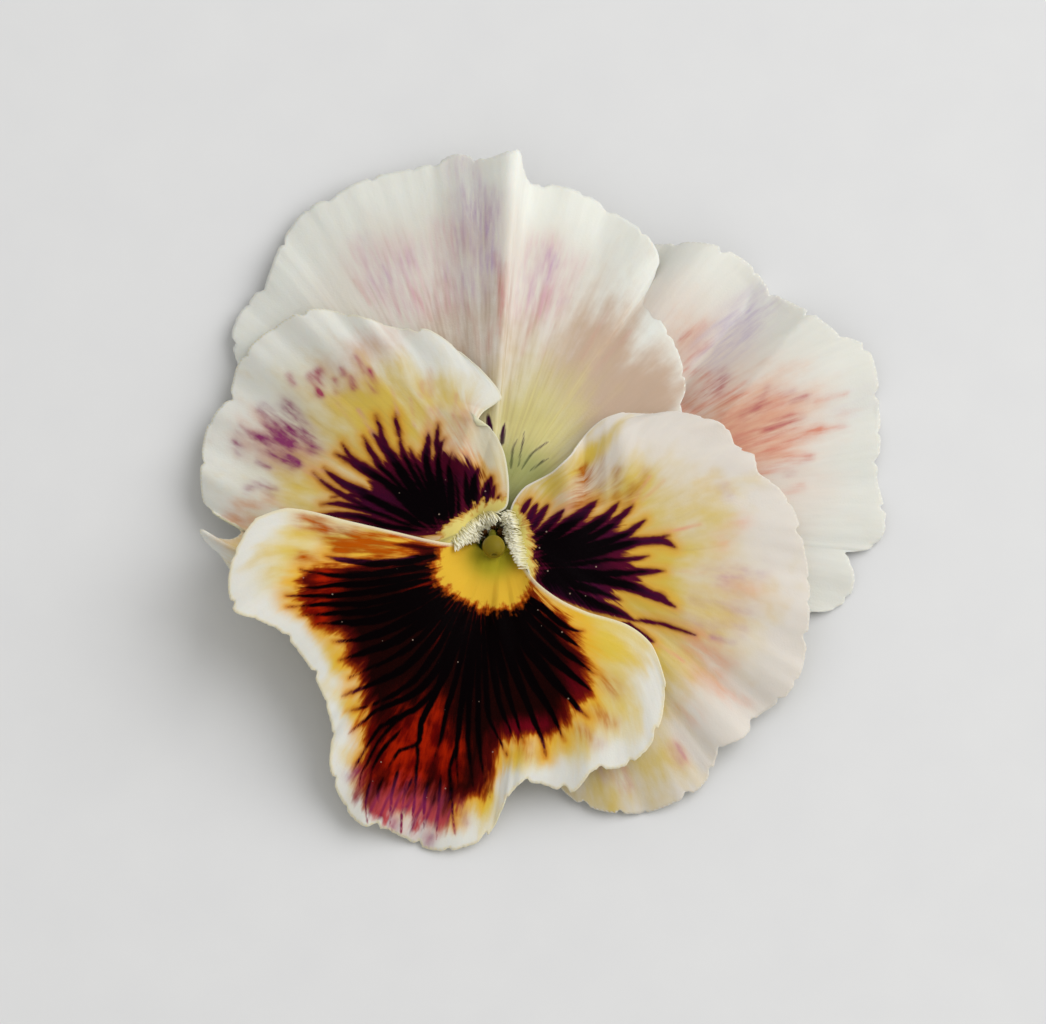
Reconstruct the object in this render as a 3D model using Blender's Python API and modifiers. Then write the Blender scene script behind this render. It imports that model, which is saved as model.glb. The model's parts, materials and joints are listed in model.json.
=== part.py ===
"""Pansy flower, picked and lying face up: five petals, calyx, stamens and pistil."""
import math

import bmesh
import bpy
import numpy as np
from mathutils import Matrix, Vector
from mathutils.bvhtree import BVHTree

MM = 0.001

# The face of the flower leans this far from level, and its outlines are read square to it.
FACE_LEAN = math.radians(15)
THROAT_HEIGHT = 10.0

# Everything grows round this upright axis, which stands this far right of and above the
# middle of the throat, in millimetres. Where it meets the surface is the flower's origin.
AXIS = (0.2, 2.0)
CLAW_RADIUS = 2.35
CLAW_HEIGHT = 4.95
PETAL_THICKNESS = 0.62
LOWEST = 0.5 * PETAL_THICKNESS + 0.03

# Steps from claw to rim, closer together where the claw bends outwards. The fine sheet is
# then thinned out to the triangles that its folds need, which are the same on both faces.
STEPS_OUT = 26
STEPS_ROUND = 72
SHEET_TRIANGLES = 700
RUFFLES = 9
RUFFLE = 0.33

RECEPTACLE_RADIUS = 2.5
RECEPTACLE_TOP = 4.25
REST_RADIUS = 1.7
SEPAL_LENGTH = 13.5
SEPAL_WIDTH = 4.6
SEPAL_THICKNESS = 0.8
SEPAL_ANGLES = (92, 20, 163, 306, 232)
EAR_LENGTH = 3.4

STIGMA_RADIUS = 0.98
STIGMA = (-0.2, -0.85, 11.3)

BEARD_HAIR = 1.25
BEARD_HAIR_RADIUS = 0.32

# Each petal runs round from its first side to its second, anticlockwise seen from the front.
# A point is (right, up the face, height above the surface) in millimetres from the throat,
# and both sides are listed outwards from the claw.
UPPER_RIGHT = dict(
    claw=62, spread=15, lip=6.6, rise=1.1, droop=1.7,
    first_side=[],
    rim=[(27.2, -6.2, 1.1), (30.7, -6.3, 0.8), (33, -5.9, 0.6), (34.6, -4.6, 0.5), (35, -2.6, 0.6),
         (34.4, -0.6, 1.0), (36.4, -0.1, 0.9), (37.8, 1.2, 0.6), (38.1, 3.2, 0.4), (37.3, 6.6, 0.6),
         (37.6, 9.6, 0.3), (37.6, 13.6, 0.3), (37.2, 17.2, 0.5), (36, 19.6, 1.1), (33.6, 20.4, 1.7),
         (31, 22.5, 2), (28.8, 24, 1.5), (27, 25.2, 0.7), (25.8, 26.9, 1.5), (23.8, 28.3, 2.5),
         (20.6, 29.1, 2.7), (17, 29.2, 1.9), (13, 28.8, 1.3), (9.5, 27, 1.5)],
    second_side=[],
)
UPPER_LEFT = dict(
    claw=106, spread=14, lip=8.5, rise=1.1, droop=1.7,
    first_side=[],
    rim=[(16.6, 9.3, 6.6), (18.4, 13, 6.1), (18.7, 16.4, 5.8), (17.6, 19.9, 5.5), (15.7, 22.9, 5.5),
         (15.3, 25, 5.2), (16.3, 27.6, 5), (15.2, 30, 4.5), (12.4, 32.2, 3.5), (9.6, 33.9, 2.7),
         (6, 35, 2.3), (3.9, 35.1, 2.9), (3.2, 36.6, 4.8), (2.6, 38.3, 6.6), (1, 37.8, 6.4),
         (-0.8, 37.5, 5.4), (-3, 38.2, 4.2), (-5.6, 37.1, 2.6), (-8.2, 36.6, 2.4), (-11.6, 36, 2.4),
         (-15, 34.2, 1.7), (-18.2, 32.5, 1.1), (-20.3, 29.5, 0.8), (-21.6, 26, 0.7), (-24.2, 22.8, 0.4),
         (-25, 20.4, 0.3), (-24, 16.9, 0.5), (-21.4, 13.4, 1.4)],
    second_side=[],
)
LATERAL_LEFT = dict(
    claw=156, spread=19, lip=9.8, rise=0.6, droop=1.7,
    first_side=[(-1.6, 4.4, 9.8), (-0.6, 5.2, 9.9), (0.8, 6.1, 10), (1.4, 8.2, 10.2), (1, 10.6, 10.4),
                (0.3, 13.2, 10.4), (0.4, 15, 10)],
    rim=[(-1, 17.2, 9.3), (-3.6, 19.4, 8.6), (-6, 20.9, 7.9), (-9, 21.2, 7.3), (-12, 22, 6.7),
         (-15.7, 23, 5.8), (-18.9, 22.4, 4.8), (-22.2, 20.3, 3.6), (-24.5, 17.4, 2.5), (-25.2, 14.6, 2.3),
         (-27.2, 11.9, 2.3), (-27.8, 8.8, 2.9), (-27.8, 6, 3.2), (-27.2, 3.4, 3), (-26.9, 1.4, 3.5),
         (-25.8, -0.7, 3.5), (-23.6, -2.9, 3.6)],
    second_side=[(-3.4, 0.6, 9.8), (-5.6, -0.9, 9.5), (-10.6, -3, 8.3), (-16, -4.6, 6.6), (-20.8, -4.6, 4.6)],
)
LATERAL_RIGHT = dict(
    claw=2, spread=15, lip=9.8, rise=0.6, droop=1.7,
    first_side=[(3.8, -2.6, 9.7), (4.7, -9.4, 7.6), (5.2, -16, 4.4)],
    rim=[(5.6, -21.6, 1.5), (8.2, -24.2, 1), (12.2, -25.4, 0.7), (16.2, -24.9, 0.7), (19.8, -23.2, 0.9),
         (21.4, -20.8, 1.5), (22, -19.2, 2.3), (24.3, -18.2, 2.2), (25.7, -16, 1.7), (28.2, -14.4, 1.8),
         (29.8, -11.8, 2.4), (30.5, -7.4, 2.9), (30.6, -3.2, 3.3), (29.9, 1, 3.6), (28.8, 3.9, 4.1),
         (26.4, 5.9, 4.8), (24.9, 8, 5.5), (23, 10.2, 6.3), (20.8, 12.1, 7.2), (17.8, 13.1, 7.9),
         (15.3, 12.8, 7.9), (12.7, 12.9, 8.6)],
    second_side=[(2.5, 4.4, 9.8), (3.8, 6.1, 9.9), (6, 7.2, 10.2), (7.7, 8.8, 10.6), (8.9, 10.8, 10.6),
                 (10.6, 12.2, 9.6)],
)
LOWER = dict(
    claw=270, spread=42, lip=11.2, rise=0.9, droop=1.7,
    first_side=[(-2.7, 0.05, 11.2), (-4.8, 0.5, 11.2), (-8.8, 1.5, 11.4), (-14, 2.7, 11.5), (-19.4, 3.8, 11.4)],
    rim=[(-22.4, 2.8, 11.2), (-24, 0.4, 11), (-24.9, -3, 11.2), (-24.3, -6, 11.6), (-22.2, -6.9, 10.6),
         (-19.6, -8.3, 9.6), (-17.6, -10.8, 8.6), (-15.8, -14.4, 7.6), (-15.1, -17.6, 6), (-15.3, -20.8, 4.4),
         (-14.2, -24, 3), (-12.2, -26.6, 1.9), (-9.8, -26.9, 1.5), (-7.2, -28.2, 0.7), (-4.8, -29, 0.31),
         (-2.6, -28.7, 0.5), (-0.4, -27.6, 1.1), (0.7, -25.9, 2.2), (1.7, -23.9, 3.2), (3.2, -22.4, 4.2),
         (5.6, -22.7, 3.9), (8, -23.3, 3.8), (9.8, -21.3, 4.9), (12.4, -20.9, 5.1), (14.9, -19.3, 5.7),
         (16.4, -16, 7), (16.7, -12.8, 8.3)],
    second_side=[(3, -1.9, 11.1), (4.3, -3.1, 11.1), (6.7, -4.9, 10.9), (9.6, -6.2, 10.5), (12.9, -7.2, 10.1),
                 (15.4, -9.2, 9.4)],
)


def clear_scene():
    for old in list(bpy.data.objects):
        bpy.data.objects.remove(old, do_unlink=True)
    for old in list(bpy.data.collections):
        bpy.data.collections.remove(old)


def material(name, color, roughness, metallic=0.0):
    made = bpy.data.materials.new(name)
    made.use_nodes = True
    shader = made.node_tree.nodes["Principled BSDF"]
    shader.inputs["Base Color"].default_value = (*color, 1)
    shader.inputs["Roughness"].default_value = roughness
    shader.inputs["Metallic"].default_value = metallic
    made.diffuse_color = (*color, 1)
    return made


def new_object(name, mesh, collection):
    made = bpy.data.objects.new(name, mesh)
    collection.objects.link(made)
    return made


def bake_modifiers(obj):
    evaluated = obj.evaluated_get(bpy.context.evaluated_depsgraph_get())
    mesh = bpy.data.meshes.new_from_object(evaluated)
    weld = bmesh.new()
    weld.from_mesh(mesh)
    bmesh.ops.remove_doubles(weld, verts=weld.verts, dist=1e-7)
    weld.to_mesh(mesh)
    weld.free()
    obj.modifiers.clear()
    if obj.type == "MESH":
        obj.data = mesh
        return obj
    collection = obj.users_collection[0]
    name = obj.name
    place = obj.matrix_world.copy()
    bpy.data.objects.remove(obj)
    made = new_object(name, mesh, collection)
    made.matrix_world = place
    return made


def fuse(body, pieces):
    """Joins the pieces to the body with one union and removes them."""
    loose = bpy.data.collections.new(body.name + "_pieces")
    bpy.context.scene.collection.children.link(loose)
    for piece in pieces:
        for holder in list(piece.users_collection):
            holder.objects.unlink(piece)
        loose.objects.link(piece)
    union = body.modifiers.new("Union", "BOOLEAN")
    union.operation = "UNION"
    union.operand_type = "COLLECTION"
    union.collection = loose
    union.solver = "MANIFOLD"
    bpy.context.view_layer.update()
    bake_modifiers(body)
    for piece in list(loose.objects):
        bpy.data.objects.remove(piece, do_unlink=True)
    bpy.data.collections.remove(loose)


def smooth_line(points, values):
    """Reads a smooth line through the points at the given shares of its length."""
    points = np.array(points, float)
    before = 2 * points[0] - points[1]
    after = 2 * points[-1] - points[-2]
    padded = np.vstack([before, points, after])
    knots = np.concatenate([[0], np.cumsum(np.linalg.norm(np.diff(padded, axis=0), axis=1) ** 0.5)])
    dense = []
    for k in range(1, len(padded) - 2):
        share = np.linspace(0, 1, 16, endpoint=k == len(padded) - 3)
        at = (knots[k] + (knots[k + 1] - knots[k]) * share)[:, None]
        line = [padded[k + j - 1] for j in range(4)]
        when = [knots[k + j - 1] for j in range(4)]
        for level in (1, 2, 3):
            line = [
                ((when[j + level] - at) * line[j] + (at - when[j]) * line[j + 1]) / (when[j + level] - when[j])
                for j in range(4 - level)
            ]
        dense.append(line[0])
    dense = np.vstack(dense)
    length = np.concatenate([[0], np.cumsum(np.linalg.norm(np.diff(dense, axis=0), axis=1))])
    wanted = np.asarray(values) * length[-1]
    return np.stack([np.interp(wanted, length, dense[:, j]) for j in range(dense.shape[1])], axis=1)


def plan_y(up_face, height):
    return (up_face - (height - THROAT_HEIGHT) * math.sin(FACE_LEAN)) / math.cos(FACE_LEAN)


def petal_surface(petal, out, around):
    """Plan places and heights of a petal: a row for each step out and a column for each step round."""
    start = math.radians(petal["claw"] - petal["spread"])
    end = math.radians(petal["claw"] + petal["spread"])
    angle = start + (end - start) * around
    claw = np.stack(
        [AXIS[0] + CLAW_RADIUS * np.cos(angle), AXIS[1] + CLAW_RADIUS * np.sin(angle), 0 * angle + petal["lip"]],
        axis=1,
    )
    rim = smooth_line(petal["rim"], around)
    rim[:, 1] = plan_y(rim[:, 1], rim[:, 2])
    sheet = blend(claw, rim, out, petal["droop"])
    for side, edge, weight in ((petal["first_side"], 0, 1 - around), (petal["second_side"], -1, around)):
        if side:
            line = np.array([(x, plan_y(y, z), z) for x, y, z in side])
            bent = smooth_line(np.vstack([claw[edge], line, rim[edge]]), out)
            straight = blend(claw[edge:][:1], rim[edge:][:1], out, petal["droop"])[:, 0]
            sheet = sheet + (bent - straight)[:, None] * weight[None, :, None]

    away = np.linalg.norm(sheet[..., :2] - claw[None, :, :2], axis=2)
    rise = 1 - np.exp(-away / petal["rise"])
    heights = CLAW_HEIGHT + (sheet[..., 2] - CLAW_HEIGHT) * rise
    ruffle = RUFFLE * np.sin(2 * math.pi * around * RUFFLES + 1.3 * petal["claw"])
    ruffle = ruffle * np.minimum(1, 9 * around * (1 - around))
    heights = heights + ruffle[None] * (out ** 4)[:, None]
    sheet[..., 2] = np.maximum(heights, LOWEST)
    return sheet * MM


def blend(claw, rim, out, droop):
    """Straight lines from claw to rim in plan, with heights that fall away more and more."""
    share = np.stack([out, out, out ** droop], axis=1)[:, None, :]
    return claw[None] * (1 - share) + rim[None] * share


def petal_sheet(name, petal, collection):
    """The petal as an open sheet, split into triangles before it is thickened."""
    out = np.linspace(0, 1, STEPS_OUT + 1) ** 1.5
    around = np.linspace(0, 1, STEPS_ROUND + 1)
    places = petal_surface(petal, out, around)
    sheet = bmesh.new()
    bmesh.ops.create_grid(sheet, x_segments=STEPS_ROUND, y_segments=len(out) - 1, size=0.5)
    for vert in sheet.verts:
        column = round((vert.co.x + 0.5) * STEPS_ROUND)
        row = round((vert.co.y + 0.5) * (len(out) - 1))
        vert.co = Vector(places[row, column])
    bmesh.ops.reverse_faces(sheet, faces=[f for f in sheet.faces])
    bmesh.ops.remove_doubles(sheet, verts=sheet.verts[:], dist=0.12 * MM)
    bmesh.ops.triangulate(sheet, faces=sheet.faces[:], quad_method="SHORT_EDGE")
    mesh = bpy.data.meshes.new(name)
    sheet.to_mesh(mesh)
    sheet.free()
    made = new_object(name, mesh, collection)
    thin_out = made.modifiers.new("Fewer triangles", "DECIMATE")
    thin_out.ratio = SHEET_TRIANGLES / len(mesh.polygons)
    bpy.context.view_layer.update()
    bake_modifiers(made)
    return made


def thicken(obj, thickness):
    solid = obj.modifiers.new("Thickness", "SOLIDIFY")
    solid.thickness = thickness * MM
    solid.offset = 0
    solid.use_even_offset = False
    bpy.context.view_layer.update()
    bake_modifiers(obj)


def spike(name, root, direction, length, root_radius, tip_radius, sides, collection):
    shape = bmesh.new()
    bmesh.ops.create_cone(
        shape, cap_ends=True, segments=sides, radius1=root_radius * MM, radius2=tip_radius * MM, depth=length * MM
    )
    turn = Vector((0, 0, 1)).rotation_difference(direction).to_matrix().to_4x4()
    place = Matrix.Translation(root + direction * (0.5 * length * MM))
    bmesh.ops.transform(shape, matrix=place @ turn, verts=shape.verts)
    mesh = bpy.data.meshes.new(name)
    shape.to_mesh(mesh)
    shape.free()
    return new_object(name, mesh, collection)


def ball(name, center, scale, turn, segments, rings, collection):
    shape = bmesh.new()
    bmesh.ops.create_uvsphere(shape, u_segments=segments, v_segments=rings, radius=MM)
    size = Matrix.Diagonal((*scale, 1))
    bmesh.ops.transform(shape, matrix=Matrix.Translation(Vector(center) * MM) @ turn @ size, verts=shape.verts)
    mesh = bpy.data.meshes.new(name)
    shape.to_mesh(mesh)
    shape.free()
    return new_object(name, mesh, collection)


def tube(name, points, radii, collection):
    """A bent, tapering round body along the points."""
    line = bpy.data.curves.new(name, "CURVE")
    line.dimensions = "3D"
    line.bevel_depth = MM
    line.bevel_resolution = 2
    line.use_fill_caps = True
    spline = line.splines.new("POLY")
    spline.points.add(len(points) - 1)
    for knot, point, radius in zip(spline.points, points, radii):
        knot.co = (*(Vector(point) * MM), 1)
        knot.radius = radius
    made = new_object(name, line, collection)
    bpy.context.view_layer.update()
    return bake_modifiers(made)


def beard(name, petal_object, line, count, collection):
    """Club hairs in two staggered rows along the petal's inner edge."""
    ground = BVHTree.FromObject(petal_object, bpy.context.evaluated_depsgraph_get())
    hairs = []
    places = smooth_line(line, np.linspace(0, 1, count))
    along = np.gradient(places, axis=0)
    for k, (place, way) in enumerate(zip(places, along)):
        across = Vector((-way[1], way[0], 0)).normalized()
        shift = across * (0.42 if k % 2 else -0.42)
        above = Vector((place[0], place[1], 0)) + shift
        hit, normal, _, _ = ground.ray_cast(Vector((above.x * MM, above.y * MM, 0.03)), Vector((0, 0, -1)))
        if hit is None:
            continue
        lean = (normal + Vector((0, 0, 0.6)) + 0.35 * across * (1 if k % 2 else -1)).normalized()
        root = hit - lean * (0.35 * MM)
        length = BEARD_HAIR + 0.35
        hairs.append(
            spike(f"{name}_hair_{k}", root, lean, length, 0.85 * BEARD_HAIR_RADIUS, BEARD_HAIR_RADIUS, 5, collection)
        )
    return hairs


def sepal(index, angle, collection):
    """A pointed green blade under the petals, with a short ear behind its foot."""
    length_steps, width_steps = 9, 4
    blade = bmesh.new()
    bmesh.ops.create_grid(blade, x_segments=length_steps, y_segments=width_steps, size=0.5)
    direction = Vector((math.cos(angle), math.sin(angle), 0))
    across = Vector((-direction.y, direction.x, 0))
    center = Vector((AXIS[0], AXIS[1], 0))
    for vert in blade.verts:
        share = vert.co.x + 0.5
        side = 2 * vert.co.y
        reach = -EAR_LENGTH + (SEPAL_LENGTH + EAR_LENGTH) * share
        profile = max(0.09, math.sin(math.pi * (0.1 + 0.9 * share) ** 0.8)) ** 0.75
        half = 0.5 * SEPAL_WIDTH * profile
        if reach < 2.6:
            half = 0.5 * SEPAL_WIDTH * 0.62 * max(0.35, 0.4 + 0.6 * share / 0.36)
        dip = 0.32 * max(0.0, 2.6 - reach)
        height = 3.55 - dip - 0.1 * half * side * side + 0.03 * max(0.0, reach - 3)
        place = center + direction * (reach + 1.6) + across * (half * side)
        vert.co = Vector((place.x, place.y, height)) * MM
    bmesh.ops.triangulate(blade, faces=blade.faces[:], quad_method="SHORT_EDGE")
    mesh = bpy.data.meshes.new(f"sepal_{index}")
    blade.to_mesh(mesh)
    blade.free()
    made = new_object(f"sepal_{index}", mesh, collection)
    thicken(made, SEPAL_THICKNESS)
    return made


def turned_body(name, profile, collection):
    """A round body on the axis, from a profile of (radius, height) points in millimetres."""
    mesh = bpy.data.meshes.new(name)
    points = [(radius * MM, 0, height * MM) for radius, height in profile]
    edges = [(i, i + 1) for i in range(len(points) - 1)]
    if profile[0][0] > 0:
        edges.append((len(points) - 1, 0))
    mesh.from_pydata(points, edges, [])
    made = new_object(name, mesh, collection)
    made.location = (AXIS[0] * MM, AXIS[1] * MM, 0)
    turned = made.modifiers.new("Turned", "SCREW")
    turned.steps = 20
    turned.render_steps = 20
    turned.use_merge_vertices = True
    turned.merge_threshold = 1e-6
    turned.use_normal_calculate = True
    bpy.context.view_layer.update()
    bake_modifiers(made)
    made.data.transform(made.matrix_world)
    made.matrix_world = Matrix.Identity(4)
    return made


def build_calyx(collection):
    profile = [
        (0, 0),
        (REST_RADIUS, 0),
        (2.25, 0.7),
        (RECEPTACLE_RADIUS, 2),
        (RECEPTACLE_RADIUS, 3.4),
        (2.2, RECEPTACLE_TOP),
        (0, RECEPTACLE_TOP),
    ]
    calyx = turned_body("calyx", profile, collection)
    pieces = [sepal(i, math.radians(a), collection) for i, a in enumerate(SEPAL_ANGLES)]
    stalk_points = [(0.3, 2.4, 2.1), (0.6, 3.6, 1.9), (1.2, 5.2, 1.45), (2.2, 7.2, 1.15), (3.6, 9.2, 1.15)]
    pieces.append(tube("stalk", stalk_points, [0.95, 0.95, 0.9, 0.88, 0.92], collection))
    fuse(calyx, pieces)
    return calyx


def build_stamens(collection):
    ring = [(1.12, 4.6), (1.62, 4.6), (1.68, 6), (1.55, 7.6), (1.2, 7.6), (1.08, 6)]
    stamens = turned_body("stamens", ring, collection)
    tips = []
    for k in range(5):
        angle = math.radians(90 + 72 * k)
        center = (AXIS[0] + 1.3 * math.cos(angle), AXIS[1] + 1.3 * math.sin(angle), 7.65)
        turn = Matrix.Rotation(angle, 4, "Z") @ Matrix.Rotation(math.radians(-12), 4, "Y")
        tips.append(ball(f"anther_{k}", center, (0.27, 0.62, 0.95), turn, 8, 6, collection))
    fuse(stamens, tips)
    return stamens


def build_pistil(collection):
    axis_x, axis_y = AXIS
    points = [
        (axis_x, axis_y, 4.6), (axis_x, axis_y, 5), (axis_x, axis_y, 5.9), (axis_x, axis_y, 6.6),
        (axis_x, axis_y, 7.2), (axis_x, axis_y - 0.05, 8.4), (axis_x - 0.1, axis_y - 0.6, 9.5),
        (axis_x - 0.3, axis_y - 1.7, 10.5), (STIGMA[0], STIGMA[1] + 0.3, STIGMA[2] - 0.2),
    ]
    radii = [0.5, 0.72, 0.76, 0.6, 0.36, 0.32, 0.32, 0.36, 0.4]
    pistil = tube("pistil", points, radii, collection)
    fuse(pistil, [ball("stigma", STIGMA, (STIGMA_RADIUS,) * 3, Matrix.Identity(4), 12, 8, collection)])
    return pistil


def paint(obj, color, roughness):
    obj.data.materials.clear()
    obj.data.materials.append(material(obj.name, color, roughness))


def main():
    clear_scene()
    flower = bpy.data.collections.new("pansy_flower")
    bpy.context.scene.collection.children.link(flower)
    petals = {
        "petal_upper_right": (UPPER_RIGHT, (0.86, 0.80, 0.76)),
        "petal_upper_left": (UPPER_LEFT, (0.88, 0.86, 0.78)),
        "petal_lateral_left": (LATERAL_LEFT, (0.80, 0.70, 0.42)),
        "petal_lateral_right": (LATERAL_RIGHT, (0.84, 0.76, 0.50)),
        "petal_lower": (LOWER, (0.22, 0.04, 0.03)),
    }
    for name, (petal, color) in petals.items():
        made = petal_sheet(name, petal, flower)
        thicken(made, PETAL_THICKNESS)
        paint(made, color, 0.6)

    left_line = [(-3.9, 1.2), (-3.3, 2.8), (-2.3, 4.2), (-0.5, 5.4)]
    right_line = [(3.5, 3.9), (3.6, 2.4), (3.7, 0.9), (3.9, -0.5)]
    left = flower.objects["petal_lateral_left"]
    right = flower.objects["petal_lateral_right"]
    fuse(left, beard("left", left, left_line, 10, flower))
    fuse(right, beard("right", right, right_line, 9, flower))
    spur_points = [(0.2, -1.1, 8.2), (0.2, -1.9, 6.6), (0.2, -2.9, 4.8), (0.3, -3.9, 3.2), (0.4, -4.5, 2.1),
                   (0.4, -4.7, 1.6)]
    spur = tube("spur", spur_points, [0.55, 1.0, 1.1, 1.1, 0.95, 0.5], flower)
    fuse(flower.objects["petal_lower"], [spur])

    paint(build_calyx(flower), (0.18, 0.30, 0.09), 0.55)
    paint(build_stamens(flower), (0.62, 0.33, 0.09), 0.6)
    paint(build_pistil(flower), (0.45, 0.55, 0.14), 0.4)
    to_origin = Matrix.Translation(Vector((-AXIS[0], -AXIS[1], 0)) * MM)
    for made in flower.objects:
        made.data.transform(to_origin)
        made.data.shade_smooth()


main()
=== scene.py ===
import json
import math
from functools import partial

import bpy
import numpy as np
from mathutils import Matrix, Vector
from mathutils.bvhtree import BVHTree

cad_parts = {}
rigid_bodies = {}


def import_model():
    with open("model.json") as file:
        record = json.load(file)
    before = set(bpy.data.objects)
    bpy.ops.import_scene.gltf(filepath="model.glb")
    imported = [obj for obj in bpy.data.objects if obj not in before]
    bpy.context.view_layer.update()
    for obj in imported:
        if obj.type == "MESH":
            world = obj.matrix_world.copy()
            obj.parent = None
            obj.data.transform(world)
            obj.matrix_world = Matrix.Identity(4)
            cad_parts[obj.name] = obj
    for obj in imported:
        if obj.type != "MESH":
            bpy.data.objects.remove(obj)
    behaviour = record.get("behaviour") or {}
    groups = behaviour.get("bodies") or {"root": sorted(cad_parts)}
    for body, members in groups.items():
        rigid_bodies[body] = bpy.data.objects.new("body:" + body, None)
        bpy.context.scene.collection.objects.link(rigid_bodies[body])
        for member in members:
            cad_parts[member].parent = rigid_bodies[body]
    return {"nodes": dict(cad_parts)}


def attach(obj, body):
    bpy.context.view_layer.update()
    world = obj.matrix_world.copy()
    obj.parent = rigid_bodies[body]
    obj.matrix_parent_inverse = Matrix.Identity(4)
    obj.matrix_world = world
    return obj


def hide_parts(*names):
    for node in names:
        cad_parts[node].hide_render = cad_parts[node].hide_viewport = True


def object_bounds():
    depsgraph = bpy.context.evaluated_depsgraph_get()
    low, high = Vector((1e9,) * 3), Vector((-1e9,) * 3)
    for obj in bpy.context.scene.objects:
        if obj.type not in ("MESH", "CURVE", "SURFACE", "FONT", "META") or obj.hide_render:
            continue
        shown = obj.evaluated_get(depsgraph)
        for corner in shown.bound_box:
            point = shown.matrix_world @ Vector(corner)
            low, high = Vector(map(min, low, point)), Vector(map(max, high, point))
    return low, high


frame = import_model()
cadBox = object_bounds()
print("frame loaded:", len(frame["nodes"]), "nodes")

mm = 0.001

# The face of the bloom leans back from level. Outlines are read square to it, in mm from the middle of the throat:
# (right, up the face, height above the surface). The petals grow round an upright axis, which is the origin.
bloom = dict(
    lean=math.radians(15),
    throatHeight=10.0,
    axis=(0.2, 2.0),
    clawRadius=1.45,
    clawHeight=4.95,
    lowest=0.17,
)

# how every petal's sheet is made, in mm
sheetForm = dict(
    thickness=0.25,         # a real petal is about 0.2
    edgeThickness=0.1,
    edgeReach=0.9,          # it grows thinner this near to its edge
    boxGap=0.02,            # teeth and frills stay this far inside the frame's box
    bowl=1.7,               # power by which the height lags behind the way out
    rowPower=1.2,           # rows of the grid stand closer near the throat
    turnReach=0.07,         # share of the way round in which the turned lip of a side is felt
    ruffles=9,
    ruffleHeight=0.33,
    ribHeight=0.03,
    ribStart=6,             # the ribs grow to full height over this much
    toothFloor=0.25,        # only what wanders above this is cut out as a tooth
    fineTooth=0.06,
    hold=dict(tooth=8, ruffle=4, rib=1.6, wave=9),   # powers by which these keep to the rim
)


def hexColor(text):
    # sRGB hex to the linear colour that the shaders use
    parts = [int(text[i:i + 2], 16) / 255 for i in (1, 3, 5)]
    return [c / 12.92 if c <= 0.04045 else ((c + 0.055) / 1.055) ** 2.4 for c in parts] + [1.0]


def fillInputs(tree, node, links):
    # links or sets a node's inputs, by name or in order
    ready = [socket for socket in node.inputs if socket.enabled]
    byName = isinstance(links, dict)
    pairs = [(node.inputs[key], value) for key, value in links.items()] if byName else zip(ready, links)
    for socket, value in pairs:
        if isinstance(value, bpy.types.NodeSocket):
            tree.links.new(value, socket)
        else:
            socket.default_value = value


def addNode(tree, links=(), kind="Math", give=0, **settings):
    # adds a shader node with its settings and links; gives back one of its outputs
    node = tree.nodes.new("ShaderNode" + kind)
    for name, value in settings.items():
        setattr(node, name, value)
    fillInputs(tree, node, links)
    return [socket for socket in node.outputs if socket.enabled][give]


# settings of the nodes that come again and again
plus = dict(kind="Math", operation="ADD")
times = dict(kind="Math", operation="MULTIPLY")
timesPlus = dict(kind="Math", operation="MULTIPLY_ADD")
ease = dict(kind="MapRange", interpolation_type="SMOOTHSTEP")   # value, from low, from high, to low, to high
tint = dict(kind="Mix", data_type="RGBA")                       # share, colour at 0, colour at 1
mark = dict(kind="Attribute", give=2, attribute_type="GEOMETRY")


def newMaterial(name):
    made = bpy.data.materials.new(name)
    made.use_nodes = True
    return made, made.node_tree, made.node_tree.nodes["Principled BSDF"]


def newPiece(name, mesh, material, node):
    mesh.materials.append(material)
    mesh.shade_smooth()
    piece = bpy.data.objects.new(name, mesh)
    bpy.context.scene.collection.objects.link(piece)
    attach(piece, "root")
    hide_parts(node)


def setValues(mesh, values):
    # values at the points of a mesh, which its skin reads by name
    for key, value in values.items():
        mesh.attributes.new(key, "FLOAT", "POINT").data.foreach_set("value", np.asarray(value, np.float32))


def sheetFaces(rows, columns):
    # the faces of a closed thin sheet: a front grid, the same grid behind it, and walls round the border
    index = np.arange(rows * columns).reshape(rows, columns)
    front = np.stack([index[:-1, :-1], index[1:, :-1], index[1:, 1:], index[:-1, 1:]], axis=2).reshape(-1, 4)
    back = front[:, ::-1] + rows * columns
    border = np.concatenate([index[0, :-1], index[:-1, -1], index[-1, ::-1][:-1], index[::-1, 0][:-1]])
    after = np.roll(border, -1)
    walls = np.stack([border, after, after + rows * columns, border + rows * columns], axis=1)
    return np.concatenate([front, back, walls])


# smooth lines and the petals' form

def smoothLine(points, shares, perSpan=16):
    # a smooth line through the points (centripetal Catmull-Rom), read at shares of its length
    points = np.array(points, float)
    padded = np.vstack([2 * points[0] - points[1], points, 2 * points[-1] - points[-2]])
    knots = np.concatenate([[0], np.cumsum(np.linalg.norm(np.diff(padded, axis=0), axis=1) ** 0.5)])
    dense = []
    for k in range(1, len(padded) - 2):
        share = np.linspace(0, 1, perSpan, endpoint=k == len(padded) - 3)
        at = (knots[k] + (knots[k + 1] - knots[k]) * share)[:, None]
        line = [padded[k + j - 1] for j in range(4)]
        when = [knots[k + j - 1] for j in range(4)]
        for level in (1, 2, 3):
            line = [
                ((when[j + level] - at) * line[j] + (at - when[j]) * line[j + 1]) / (when[j + level] - when[j])
                for j in range(4 - level)
            ]
        dense.append(line[0])
    dense = np.vstack(dense)
    length = np.concatenate([[0], np.cumsum(np.linalg.norm(np.diff(dense, axis=0), axis=1))])
    wanted = np.asarray(shares) * length[-1]
    return np.stack([np.interp(wanted, length, dense[:, j]) for j in range(dense.shape[1])], axis=1)


def planY(upFace, height):
    # from mm up the face to mm along the ground, and faceUp the other way
    return (upFace - (height - bloom["throatHeight"]) * math.sin(bloom["lean"])) / math.cos(bloom["lean"])


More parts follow.
